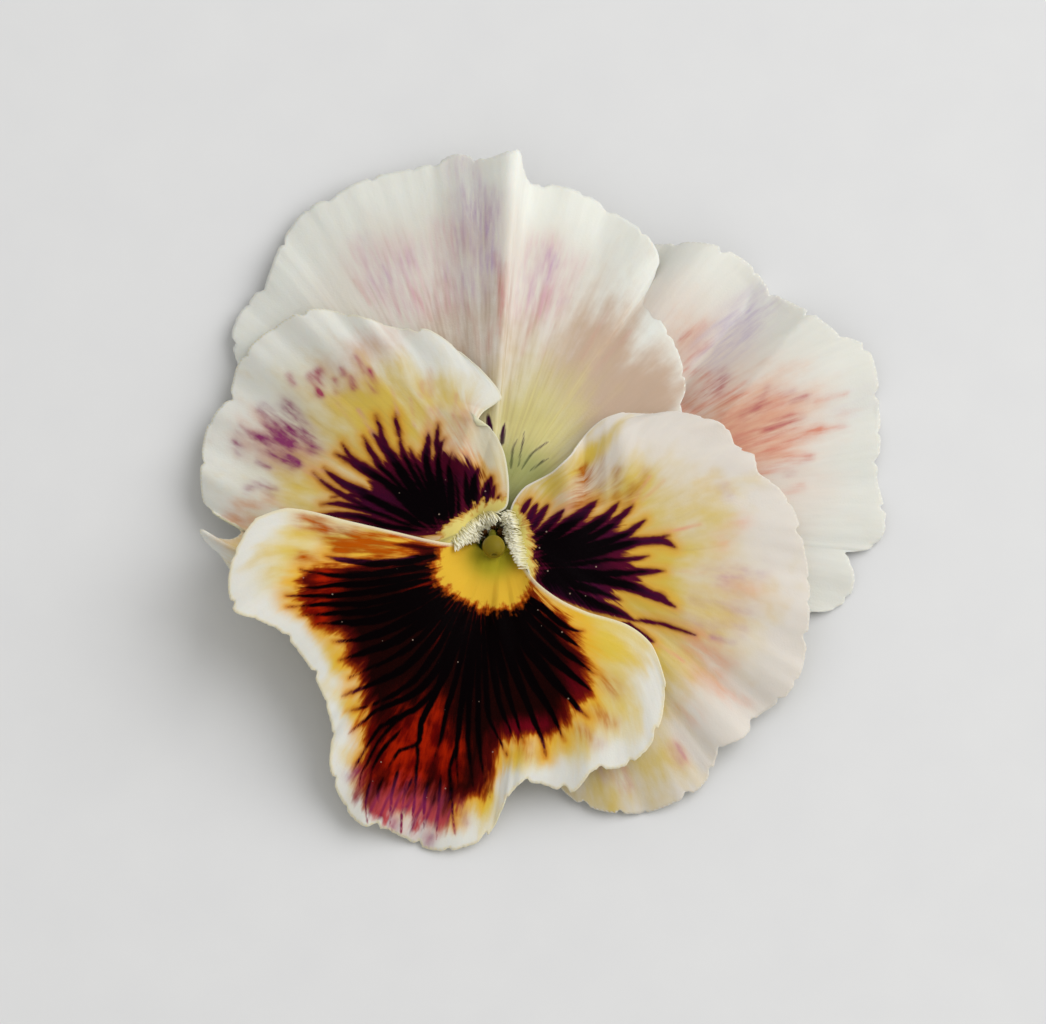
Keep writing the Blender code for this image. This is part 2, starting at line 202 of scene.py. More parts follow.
def faceUp(y, height):
    return y * math.cos(bloom["lean"]) + (height - bloom["throatHeight"]) * math.sin(bloom["lean"])


def wander(seed, shares, waves):
    # a smooth seeded line that wanders between about -1 and 1, with that many waves in all
    chance = np.random.default_rng(seed)
    total = 0 * shares
    for k in range(7):   # ever faster and lower waves
        rate = waves * (0.45 + 0.23 * k)
        total = total + np.sin(2 * math.pi * (rate * shares + chance.random())) * (0.55 - 0.05 * k)
    return total / 1.3


def fromSpot(right, up, x, y, angle):
    # mm from a spot on the face along a direction, and mm to the left of it
    c, s = math.cos(angle), math.sin(angle)
    return (right - x) * c + (up - y) * s, (up - y) * c - (right - x) * s


def petalPlaces(petal, out, around):
    # the middle of the petal in mm, for a grid of shares out and shares around
    start, end = (math.radians(petal["claw"] + sign * petal["spread"]) for sign in (-1, 1))
    angle = start + (end - start) * around
    (x, y), radius = bloom["axis"], bloom["clawRadius"]
    claw = np.stack([x + radius * np.cos(angle), y + radius * np.sin(angle), 0 * angle + petal["lip"]], axis=1)
    rim = smoothLine(petal["rim"], around)
    rim[:, 1] = planY(rim[:, 1], rim[:, 2])

    # small teeth along the rim, cut inwards
    hold = sheetForm["hold"]
    teeth = wander(petal["seed"], around, petal["nicks"]) - sheetForm["toothFloor"]
    nicks = np.clip(teeth, 0, 1) ** 1.3 * petal["nickDepth"]
    nicks = nicks + sheetForm["fineTooth"] * np.abs(wander(petal["seed"] + 40, around, 2 * petal["nicks"]))
    nicks = nicks / np.linalg.norm(rim - claw, axis=1)
    grid = out[:, None] * (1 - nicks[None, :] * out[:, None] ** hold["tooth"])

    share = np.stack([grid, grid, grid ** sheetForm["bowl"]], axis=2)
    sheet = claw[None] * (1 - share) + rim[None] * share
    steps = np.linspace(0, 1, 500)

    def sideLine(side, edge):
        line = np.array([(x, planY(y, z), z) for x, y, z in side])
        return smoothLine(np.vstack([claw[edge], line, rim[edge]]), steps)

    def addShift(shift, weight):
        moved = np.stack([np.interp(grid, steps, shift[:, j]) for j in range(3)], axis=2)
        return sheet + moved * weight[None, :, None]

    plain = np.stack([steps, steps, steps ** sheetForm["bowl"]], axis=1)
    for key, edge, weight in (("firstSide", 0, 1 - around), ("secondSide", -1, around)):
        if key in petal:
            sheet = addShift(sideLine(petal[key], edge) - (claw[edge] * (1 - plain) + rim[edge] * plain), weight)
    if "firstTurn" in petal:   # a finer line of the first side, felt only near it
        turned = sideLine(petal["firstTurn"], 0) - sideLine(petal["firstSide"], 0)
        sheet = addShift(turned, np.exp(-(around / sheetForm["turnReach"]) ** 1.5))

    # the climb out of the throat, and ruffles that grow towards the rim
    away = np.linalg.norm(sheet[..., :2] - claw[None, :, :2], axis=2)
    rise = 1 - np.exp(-away / petal["rise"])
    height = bloom["clawHeight"] + (sheet[..., 2] - bloom["clawHeight"]) * rise
    calm = np.minimum(1, 9 * around * (1 - around))   # 0 at both sides, 1 between them
    phase = 2 * math.pi * around * sheetForm["ruffles"] + 1.3 * petal["claw"]
    height = height + (sheetForm["ruffleHeight"] * np.sin(phase) * calm)[None] * grid ** hold["ruffle"]

    # folds seen on the face: (right, up the face, half length, half width, direction, height)
    right, up = sheet[..., 0], faceUp(sheet[..., 1], sheet[..., 2])
    for x, y, long, wide, turn, lift in petal.get("folds", []):
        along, across = fromSpot(right, up, x, y, math.radians(turn))
        height = height + lift * np.exp(-(along / long) ** 2 - (across / wide) ** 2)

    # creases with a flat facet to either side: (right, up) at both ends, facet width right and left of it, height
    crest, fall = 0.003, 2.4   # how round the crest is, and how steeply a crease ends
    for x0, y0, x1, y1, wideRight, wideLeft, lift in petal.get("creases", []):
        along, across = fromSpot(right, up, (x0 + x1) / 2, (y0 + y1) / 2, math.atan2(y1 - y0, x1 - x0))
        along = 2 * np.abs(along) / math.hypot(x1 - x0, y1 - y0)
        share = np.abs(across) / np.where(across > 0, wideLeft, wideRight)
        tent = np.clip(1 - np.sqrt(share ** 2 + crest), 0, 1)
        height = height + lift * tent * np.clip(fall - fall * along, 0, 1)

    # soft ribs that run out along the veins, and finer waves in the last few mm of the rim
    ribs = sheetForm["ribHeight"] * wander(petal["seed"] + 11, around, petal["ribs"])
    height = height + ribs[None] * (calm[None] * grid ** hold["rib"]) * np.minimum(1, away / sheetForm["ribStart"])
    rimWaves = petal["rimWave"] * wander(petal["seed"] + 23, around, petal["ribs"] * 1.1)
    height = height + rimWaves[None] * grid ** hold["wave"] * calm[None]
    sheet[..., 2] = np.maximum(height, bloom["lowest"])
    return sheet


# what a petal's skin reads: distances to its markings, and soft patches and stains, some of which carry painted shade

def nearestGap(places, line, chunk=40):
    # how far each place is from a line given as close points
    flat = places.reshape(-1, places.shape[-1])
    best = np.full(len(flat), 1e9)
    for k in range(0, len(line), chunk):
        gaps = ((flat[:, None] - line[None, k:k + chunk]) ** 2).sum(axis=2).min(axis=1)
        best = np.minimum(best, gaps)
    return np.sqrt(best).reshape(places.shape[:-1])


def insideGap(outline, right, up):
    # mm inside a smooth closed outline on the face, negative outside
    loop = smoothLine(outline + [outline[0]], np.linspace(0, 1, 260))
    x, y = right.ravel(), up.ravel()
    inside = np.zeros(len(x), bool)
    for (x0, y0), (x1, y1) in zip(loop[:-1], loop[1:]):
        crosses = (y0 > y) != (y1 > y)
        inside ^= crosses & (x < (x1 - x0) * (y - y0) / (y1 - y0 + 1e-12) + x0)
    gap = nearestGap(np.stack([x, y], axis=1), loop)
    return np.where(inside, gap, -gap).reshape(right.shape)


def patchAmount(patches, right, up):
    # soft long patches that point out from the throat: (right, up, half length, half width, strength)
    total = np.zeros(right.shape)
    for x, y, long, wide, strength in patches:
        along, across = fromSpot(right, up, x, y, math.atan2(y, x))
        total = np.maximum(total, strength * np.exp(-(along / long) ** 2 - (across / wide) ** 2))
    return total


stroke = dict(points=90, far=3.0)   # mm, a place further off than this counts as this far


def strokeGap(points, right, up, width=None):
    # how far each place is from a smooth stroke, or with a width how far inside its tapered shape
    far, share = stroke["far"], np.linspace(0, 1, stroke["points"])
    line = smoothLine(np.array(points).reshape(-1, 2), share)
    low, high = line.min(axis=0) - far, line.max(axis=0) + far
    near = (right > low[0]) & (right < high[0]) & (up > low[1]) & (up < high[1])
    gap = np.full(right.shape, far)
    if near.any():
        away = np.hypot(right[near][:, None] - line[None, :, 0], up[near][:, None] - line[None, :, 1])
        if width:   # widens from its root, then narrows to a point
            away = away - 1.45 * width * np.minimum(1, 0.35 + 4 * share) * (1 - share ** 3.4) ** 0.9
        gap[near] = np.minimum(far, away.min(axis=1))
    return gap


def veinDepth(veins, right, up):
    # mm inside the nearest dark vein, negative outside: (half width, right, up, right, up …) from root to tip
    depth = np.full(right.shape, -stroke["far"])
    for width, *points in veins:
        depth = np.maximum(depth, -strokeGap(points, right, up, width))
    return depth


def stainAndShadeAmount(stains, right, up):
    # soft stains, some of them partly painted shade, along a stroke: (half width, strength, right, up, right, up …)
    total = np.zeros(right.shape)
    for width, strength, *points in stains:
        gap, soft = strokeGap(points, right, up), 1.9 * width
        amount = np.exp(-(gap / soft) ** 2) - math.exp(-(stroke["far"] / soft) ** 2)
        total = total + (1 - total) * np.clip(strength * 0.8 * amount, 0, 0.96)
    return total


def veinFan(petal, around, reach):
    # counts the fine veins round the petal; those towards the second side can curve that way, most near the throat
    start, settle, straight = 4, 10, 0.4   # mm out, mm further, share of the way round that stays straight
    bend = settle * (1 - np.exp(-np.clip(reach - start, 0, None) / settle)) / (1 - straight)
    curve = petal.get("veinCurve", 0) * bend
    fan = (around - curve * np.clip(around - straight, 0, None)) * petal["fineVeins"]
    return fan, 1 - curve * (around > straight)


patchNames = ("yolk", "ember", "plum", "green", "blush", "fade")
stainAndShadeNames = ("flushOne", "flushTwo", "flushThree")


def petalPiece(name, petal):
    rows, columns = petal["rows"] + 1, petal["columns"] + 1
    out, around = np.linspace(0, 1, rows) ** sheetForm["rowPower"], np.linspace(0, 1, columns)
    middle = petalPlaces(petal, out, around)
    right, up = middle[..., 0], faceUp(middle[..., 1], middle[..., 2])

    normal = np.cross(np.gradient(middle, axis=0), np.gradient(middle, axis=1))
    normal = normal / (np.linalg.norm(normal, axis=2, keepdims=True) + 1e-12)
    edgeGap = nearestGap(middle, np.vstack([middle[-1], middle[:, 0], middle[:, -1]])[::2])
    thin, thick = sheetForm["edgeThickness"], sheetForm["thickness"]
    half = 0.5 * (thin + (thick - thin) * np.clip(edgeGap / sheetForm["edgeReach"], 0, 1) ** 0.5)[..., None]
    places = np.concatenate([(middle + normal * half).reshape(-1, 3), (middle - normal * half).reshape(-1, 3)])
    low, high = (np.array(corner) / mm for corner in cadBox)
    places = np.clip(places - [*bloom["axis"], 0], low + sheetForm["boxGap"], high - sheetForm["boxGap"]) * mm
    mesh = bpy.data.meshes.new(name)
    mesh.from_pydata(places, [], sheetFaces(rows, columns))

    reach = np.hypot(right, up)
    fan, squeeze = veinFan(petal, around, reach)
    spacing = np.linalg.norm(np.gradient(middle, axis=1), axis=2) * petal["columns"] / petal["fineVeins"]
    values = dict(
        fan=fan,
        fanWidth=spacing / squeeze,
        reach=reach,
        rimGap=nearestGap(middle, middle[-1]),
        edgeGap=edgeGap,
        blotch=insideGap(petal["blotch"], right, up),
        eye=insideGap(petal["eye"], right, up),
        vein=veinDepth(petal.get("veins", []), right, up),
    )
    values.update({key: patchAmount(petal.get(key, []), right, up) for key in patchNames})
    values.update({key: stainAndShadeAmount(petal.get(key, []), right, up) for key in stainAndShadeNames})
    values = {key: np.tile(value.ravel(), 2) for key, value in values.items()}
    setValues(mesh, dict(values, backSide=np.repeat([0, 1], rows * columns)))
    newPiece(name, mesh, petalSkin(name, petal, (*values, "backSide")), petal["node"])
    print(name, "made:", len(mesh.polygons), "faces")


# Petal skin is living tissue: a thin juicy sheet under an upper skin of tiny domed cells. The domes scatter light,
# which looks velvety on the dark parts and like matt porcelain on the pale ones. IOR 1.4 is that of wet plant cells.
tissue = dict(
    clouds=420.0,                 # noise scales a metre: mottle about 2 mm across
    specks=1500.0,                # mottle about 0.6 mm across
    cells=5200.0,                 # the domed cells are far under a pixel, so they are drawn about 0.2 mm across
    # streaks: how fine they are across, along and from petal to petal, and their detail
    streaks=(((2.6, 0.3, 1.0), 3.0), ((0.9, 0.16, 1.3), 3.0), ((0.3, 0.1, 1.7), 2.0)),
    fork=(8, 20, 0, 0.25),        # a fine vein splits from 8 to 20 mm out, by up to 0.25 spacings either way
    lineWidth=(0.02, 0.2),        # mm from the middle of a fine vein to its edge
    lineFade=(3, 14),             # mm from the rim over which the fine veins come in
    threadWidth=(0.03, 0.3),      # the purple veins at the tip of the lower petal
    spikeEdge=(-0.13, 0.09),      # blur of a dark vein's outline, mm
    tipReach=(-2.4, 0.2),         # mm past the marking over which dark veins lose their black
    eyeBlend=(-0.3, 0.35),        # mm inside the eye's outline
    haloBlend=1.6,                # mm over which the halo ends near the rim
    showThrough=0.72,             # the share of the back's own colour over the pattern
    pollen=640.0,                 # a grain's place in about every 1.6 mm
    pollenSize=(0.03, 0.065),     # its radius in such spacings
    pollenColor="#B8A08C",
    roughness=(0.52, 0.68),
)


def petalSkin(name, petal, reads):
    made, tree, shader = newMaterial("livingPetalTissue" + name[0].upper() + name[1:])
    add = partial(addNode, tree)
    colors = {key: hexColor(value) for key, value in petal["colors"].items()}
    read = {key: add(attribute_name=key, **mark) for key in reads}

    def noised(value, *noises):
        # a value with shares of noises added
        for noise, much in noises:
            value = add((noise, much, value), **timesPlus)
        return value

    def mottled(place, scale, detail, rough=0.5):
        # noise around 0
        noise = {"Vector": place, "Scale": scale, "Detail": detail, "Roughness": rough}
        return add((add(noise, kind="TexNoise"), -0.5), **plus)

    # uneven streaks drawn out along the veins; a fine vein's spacing is 1 across and a mm is 1 along
    grain = add((read["fan"], read["reach"], petal["seed"]), kind="CombineXYZ")
    fine, middle, broad = (
        mottled(add((grain, scale), kind="VectorMath", operation="MULTIPLY"), 1.0, detail, rough=0.55)
        for scale, detail in tissue["streaks"]
    )
    space = add(kind="NewGeometry")
    cloud, speckle = mottled(space, tissue["clouds"], 4.0), mottled(space, tissue["specks"], 2.0)

    # fine veins: each splits in two further out
    split = add((read["reach"], *tissue["fork"]), **ease)
    across = add((add((noised(read["fan"], (middle, 0.5)),), operation="FRACT"), -0.5), **plus)
    forked = add((add((across,), operation="ABSOLUTE"), split), operation="SUBTRACT")
    veinGap = add((add((forked,), operation="ABSOLUTE"), read["fanWidth"]), **times)

    # how deep inside the dark marking, in mm: its ragged outline or one of the veins that run out of it
    ragged = noised(read["blotch"], (middle, 2.6), (fine, 2.2))
    spike = noised(read["vein"], (speckle, 0.14), (fine, 0.4))
    fading = add((read["fade"], noised(1.0, (middle, 1.2), (fine, 2.0))), **times)
    rosy = add((fading, 0.15, 0.7), **ease)
    thinned = add((fading, 0.7, 1.3, 1.0, 0.2), **ease)
    ground = add((add((ragged, -petal["groundSoft"], petal["groundSoft"]), **ease), thinned), **times)
    dark = add((add((spike, *tissue["spikeEdge"]), **ease), ground), operation="MAXIMUM")

    # outside the marking: white rim, cream, blush and painted shade, yellow, and a halo next to the dark
    nearRim = noised(read["rimGap"], (middle, 3.2))
    rimShare = add((nearRim, petal["rimWidth"] * 0.3, petal["rimWidth"] * 1.7), **ease)
    color = add((rimShare, colors["rim"], colors["body"]), **tint)
    # the blush patches are partly the petal's own salmon-pink tone and partly a tan-grey painted shade where a petal
    # turns from the light
    blush = add((noised(read["blush"], (middle, 0.9), (cloud, 0.5)), 0.15, 1.0), **ease)
    yolk = add((noised(read["yolk"], (middle, petal["yolkStreak"]), (cloud, 0.4)), 0.1, 0.95), **ease)
    far, near = (add((ragged, add((spike, -step), **plus)), operation="MAXIMUM") for step in petal["auraStep"])
    start = petal["rimClear"]
    inward = add((noised(read["rimGap"], (fine, 1.5)), start, start + tissue["haloBlend"]), **ease)
    clear = add((inward, add((read["fade"], 0.3, 1.0, 1.0, 0.0), **ease)), **times)
    aura = add((add((far, -petal["haloWidth"], 0.0), **ease), clear), **times)
    glowing = add((add((near, -petal["haloNear"], 0.06), **ease), clear), **times)
    for share, key in ((blush, "blush"), (yolk, "yolk"), (aura, "halo"), (glowing, "haloNear")):
        color = add((share, color, colors[key]), **tint)
    tone = noised(0.88, (fine, 1.1), (speckle, 0.4))
    # the flushes are streaks of pigment; on some petals they also carry painted shade on facets, beside creases and in
    # a trough
    for key in ("flushTwo", "flushThree", "flushOne"):
        amount = add((noised(0.8, (middle, 2.6), (fine, 2.8)), read[key]), use_clamp=True, **times)
        amount = add((amount, tone), use_clamp=True, **times)
        color = add((amount, color, colors[key]), **tint)
    showing = add((add((middle, -0.1, 0.25), **ease), add((read["rimGap"], *tissue["lineFade"]), **ease)), **times)
    lines = add((veinGap, *tissue["lineWidth"], petal["lineStrength"], 0.0), **ease)
    color = add((add((lines, showing), **times), color, colors["vein"]), **tint)
    color = add({"Value": noised(1.0, (broad, 0.14), (fine, 0.09)), "Color": color}, kind="HueSaturation")

    # inside it: near black along the veins, warmer between them and towards the edge of the marking
    depth = add((noised(read["blotch"], (middle, 3.0), (fine, 1.5)), 0.1, petal["depth"]), **ease)
    between = add((depth, colors["blotchEdge"], colors["blotchDeep"]), **tint)
    patchy = noised(1.0, (cloud, 1.0), (middle, 2.2), (fine, 1.2))
    glow = add((add((patchy, read["ember"]), **times), 0.05, 0.9), **ease)
    emberShare = add((noised(cloud, (fine, 1.0)), -0.2, 0.3), **ease)
    emberTone = add((emberShare, colors["ember"], colors["emberPale"]), **tint)
    purple = add((add((patchy, read["plum"]), **times), 0.05, 1.0), **ease)

    # towards the tip of the lower petal it turns rosy with thin purple veins, and thins out
    threads = add((add((veinGap, *tissue["threadWidth"], 0.8, 0.0), **ease), rosy), **times)
    layers = ((glow, emberTone), (purple, colors["plum"]), (rosy, colors["rosy"]), (threads, colors["veinTip"]))
    for share, shown in layers:
        between = add((share, between, shown), **tint)

    # the dark veins lose their black where they run out of the marking
    outside = add((add((ragged, *tissue["tipReach"], petal["tipFade"], 0.0), **ease), rosy), operation="MAXIMUM")
    veinColor = add((outside, colors["blotchVein"], colors["veinTip"]), **tint)
    inner = add((add((spike, *petal["veinCore"]), **ease), between, veinColor), **tint)

    # a few grains of pollen lie on the dark
    grains = add({"Vector": space, "Scale": tissue["pollen"]}, kind="TexVoronoi")
    grains = add((add((grains, *tissue["pollenSize"], 0.6, 0.0), **ease), dark), **times)

    # the eye next to the throat, with a ragged border, and green right at the throat
    eyeLevel = noised(read["eye"], (cloud, 0.8), (speckle, 1.6), (middle, petal["eyeRagged"]), (fine, 0.5))
    eyeBorder = add((eyeLevel, -petal["eyeFringe"], -0.05), **ease)
    eye = add((eyeLevel, *tissue["eyeBlend"]), **ease)
    green = add((read["green"], 0.1, 0.8, 0.0, petal["greenThroat"]), **ease)

    # a pale line painted along the thin edge is a painted highlight for the light the edge catches and lets through,
    # and the back is paler with the pattern showing faintly through
    edge = add((read["edgeGap"], 0.1, petal["litEdgeLine"], 0.9, 0.0), **ease)
    behind = add((read["backSide"], tissue["showThrough"]), **times)
    layers = (
        (dark, inner), (grains, hexColor(tissue["pollenColor"])), (eyeBorder, colors["eyeBorder"]),
        (eye, colors["eye"]), (green, colors["throat"]), (edge, colors["edge"]), (behind, colors["back"]),
    )
    for share, shown in layers:
        color = add((share, color, shown), **tint)

    # domed cells, with the veins barely sunk
    cells = add({"Vector": space, "Scale": tissue["cells"], "Detail": 2.0}, kind="TexNoise")
    relief = noised(add((veinGap, 0.02, 0.4, 0.0, 0.06), **ease), (middle, 0.5), (cells, 0.3))
    fillInputs(tree, shader, {
        "Base Color": color,
        "Normal": add({"Strength": 0.5, "Distance": 0.1 * mm, "Height": relief}, kind="Bump"),
        "Roughness": add((cells, 0.3, 0.7, *tissue["roughness"]), **ease),
        "IOR": 1.4,
        "Specular IOR Level": 0.03,
        "Subsurface Weight": 0.4,
        "Subsurface Radius": (1.0, 0.8, 0.6),
        "Subsurface Scale": 0.5 * mm,
    })
    return made


# The five petals, in mm and degrees. claw and spread are the direction and half width of the root; from there the
# petal climbs to the height lip within about rise mm. rim and the sides are points of (right, up the face, height).
# nicks, ribs and fineVeins are counts on the way round. depth, groundSoft and veinCore say how deep inside the
# marking, its outline and a dark vein the colour changes. Along the veins the two halos are thinner by auraStep.

upperPetals = dict(
    slot="petal_upper",
    rows=112, rise=1.1, nickDepth=0.6, rimWave=0.07,
    depth=3, rimWidth=5, haloWidth=1.0, haloNear=0.3, groundSoft=0.12, veinCore=(-0.1, 0.1), tipFade=0.5,
    auraStep=(0.5, 0.35), rimClear=0.2, litEdgeLine=0.2, eyeFringe=0.3,
    # they have no dark marking and no eye, so these two lie hidden in the throat
    blotch=[(0, 3), (0.5, 3), (0.5, 3.5), (0, 3.5)],
    eye=[(0, 2), (0.5, 2), (0.5, 2.5), (0, 2.5)],
    colors=dict(rosy="#A44A58"),
)

upperRight = dict(
    upperPetals, node="petal_upper_right", seed=3,
    columns=240, claw=62, spread=15, lip=6.6, nicks=26, ribs=20,
    fineVeins=44, yolkStreak=0.6, eyeRagged=1.0, greenThroat=0.0, lineStrength=0.22,
    rim=[(27.2, -6.2, 1.1), (30.7, -6.3, 0.8), (33, -5.9, 0.6), (34.6, -4.6, 0.5), (35, -2.6, 0.6),
        (34.4, -0.6, 1.0), (36.4, -0.1, 0.9), (37.8, 1.2, 0.6), (38.1, 3.2, 0.4), (37.3, 6.6, 0.6), (37.6, 9.6, 0.3),
        (37.6, 13.6, 0.3), (37.2, 17.2, 0.5), (36, 19.6, 1.1), (33.6, 20.4, 1.7), (31, 22.5, 2), (28.8, 24, 1.5),
        (27, 25.2, 0.7), (25.8, 26.9, 1.5), (23.8, 28.3, 2.5), (20.6, 29.1, 2.7), (17, 29.2, 1.9), (13, 28.8, 1.3),
        (9.5, 27, 1.5)],
    folds=[(31, 16.5, 9, 4.5, 50, 1.0), (17.5, 25, 6, 4, 50, 1.2), (22.5, 21, 9, 9, 50, 0.9)],
    creases=[(14.5, 11.2, 28.8, 28.6, 5.5, 4.5, -2.6)],
    yolk=[(8, 8, 12, 9, 0.5)],
    blush=[(24, 11, 8, 5, 1.0), (19, 20, 3, 3, 0.5)],
    flushOne=[(0.38, 0.68, 22, 15.1, 22.5, 16.5), (0.28, 0.5, 29.1, 14.2, 30.2, 14.5),
        (0.32, 0.5, 26.7, 11.4, 28.8, 12.2), (0.32, 0.37, 24.5, 12.6, 26.4, 13.6),
        (0.23, 0.43, 27.9, 11.7, 29.8, 12.5), (0.23, 0.31, 28.2, 14.7, 29.1, 15.1),
        (0.21, 0.31, 28.5, 7.1, 29.1, 7.2), (0.21, 0.25, 30.1, 8.3, 30.7, 8.6), (0.19, 0.37, 25.4, 13, 26.7, 15.4),
        (0.28, 0.28, 20.5, 14.8, 22.3, 15.7), (0.21, 0.25, 18.3, 20.1, 19.2, 20.7)],
    # the broad lilac-grey strokes along the crease are partly lilac stain and partly painted shade on the facet that
    # turns from the light
    flushTwo=[(1.5, 0.85, 20.8, 18.4, 23.6, 21.2, 26, 23.6), (1.2, 0.4, 23.9, 20.1, 25.1, 22.2),
        (0.74, 0.36, 21.4, 19.1, 24.2, 22.5), (0.68, 0.24, 25.7, 20.4, 27.3, 22.2),
        (0.74, 0.21, 34.1, 13, 36.6, 14.8)],
    flushThree=[(0.59, 0.85, 18.6, 13.6, 21.4, 15.4), (0.4, 1.02, 23.6, 10.5, 26.4, 11.4, 29.1, 12.3),
        (0.34, 1.02, 23.9, 9.5, 26.7, 10.5, 28.8, 11.7), (0.34, 0.85, 23, 11.4, 25.4, 13, 27.9, 13.9),
        (0.32, 0.77, 22, 12, 24.8, 13.6, 27.6, 14.8), (0.32, 0.77, 25.7, 8.6, 28.8, 10.2, 31.6, 11.4),
        (0.32, 0.68, 25.7, 7.4, 27.9, 8, 30.4, 8.6), (0.3, 0.68, 19.5, 13, 22.3, 13.9, 24.5, 15.7),
        (0.25, 0.59, 26.7, 8.9, 28.8, 8.9), (0.22, 0.51, 31.3, 14.2, 34.1, 14.8),
        (0.22, 0.51, 18.3, 20.1, 20.5, 21.6), (0.22, 0.59, 18.6, 17.9, 21.1, 19.8),
        (0.22, 0.42, 31.6, 11.1, 34.1, 11.7), (0.34, 0.68, 18.9, 17, 20.5, 16.7), (0.25, 0.51, 28.2, 5.2, 29.8, 5.8),
        (0.3, 0.51, 22.3, 13, 24.5, 14.8)],
    colors=dict(upperPetals["colors"], veinTip="#5A2038", blush="#DBAE92", emberPale="#5A2038", rim="#DAD9D1",
        body="#DBD0C5", yolk="#E0CDAE", halo="#EBDCC0", haloNear="#EBDCC0", blotchDeep="#3A1020",
        blotchEdge="#5A2038", blotchVein="#2A0A18", ember="#5A2038", plum="#5A2038", flushOne="#AA505E",
        flushTwo="#BCB0BE", flushThree="#CF8E7A", vein="#C79C86", eye="#E8E3B8", eyeBorder="#E8E3B8",
        throat="#A9B276", edge="#E6E5DC", back="#E2E1D4"),
)

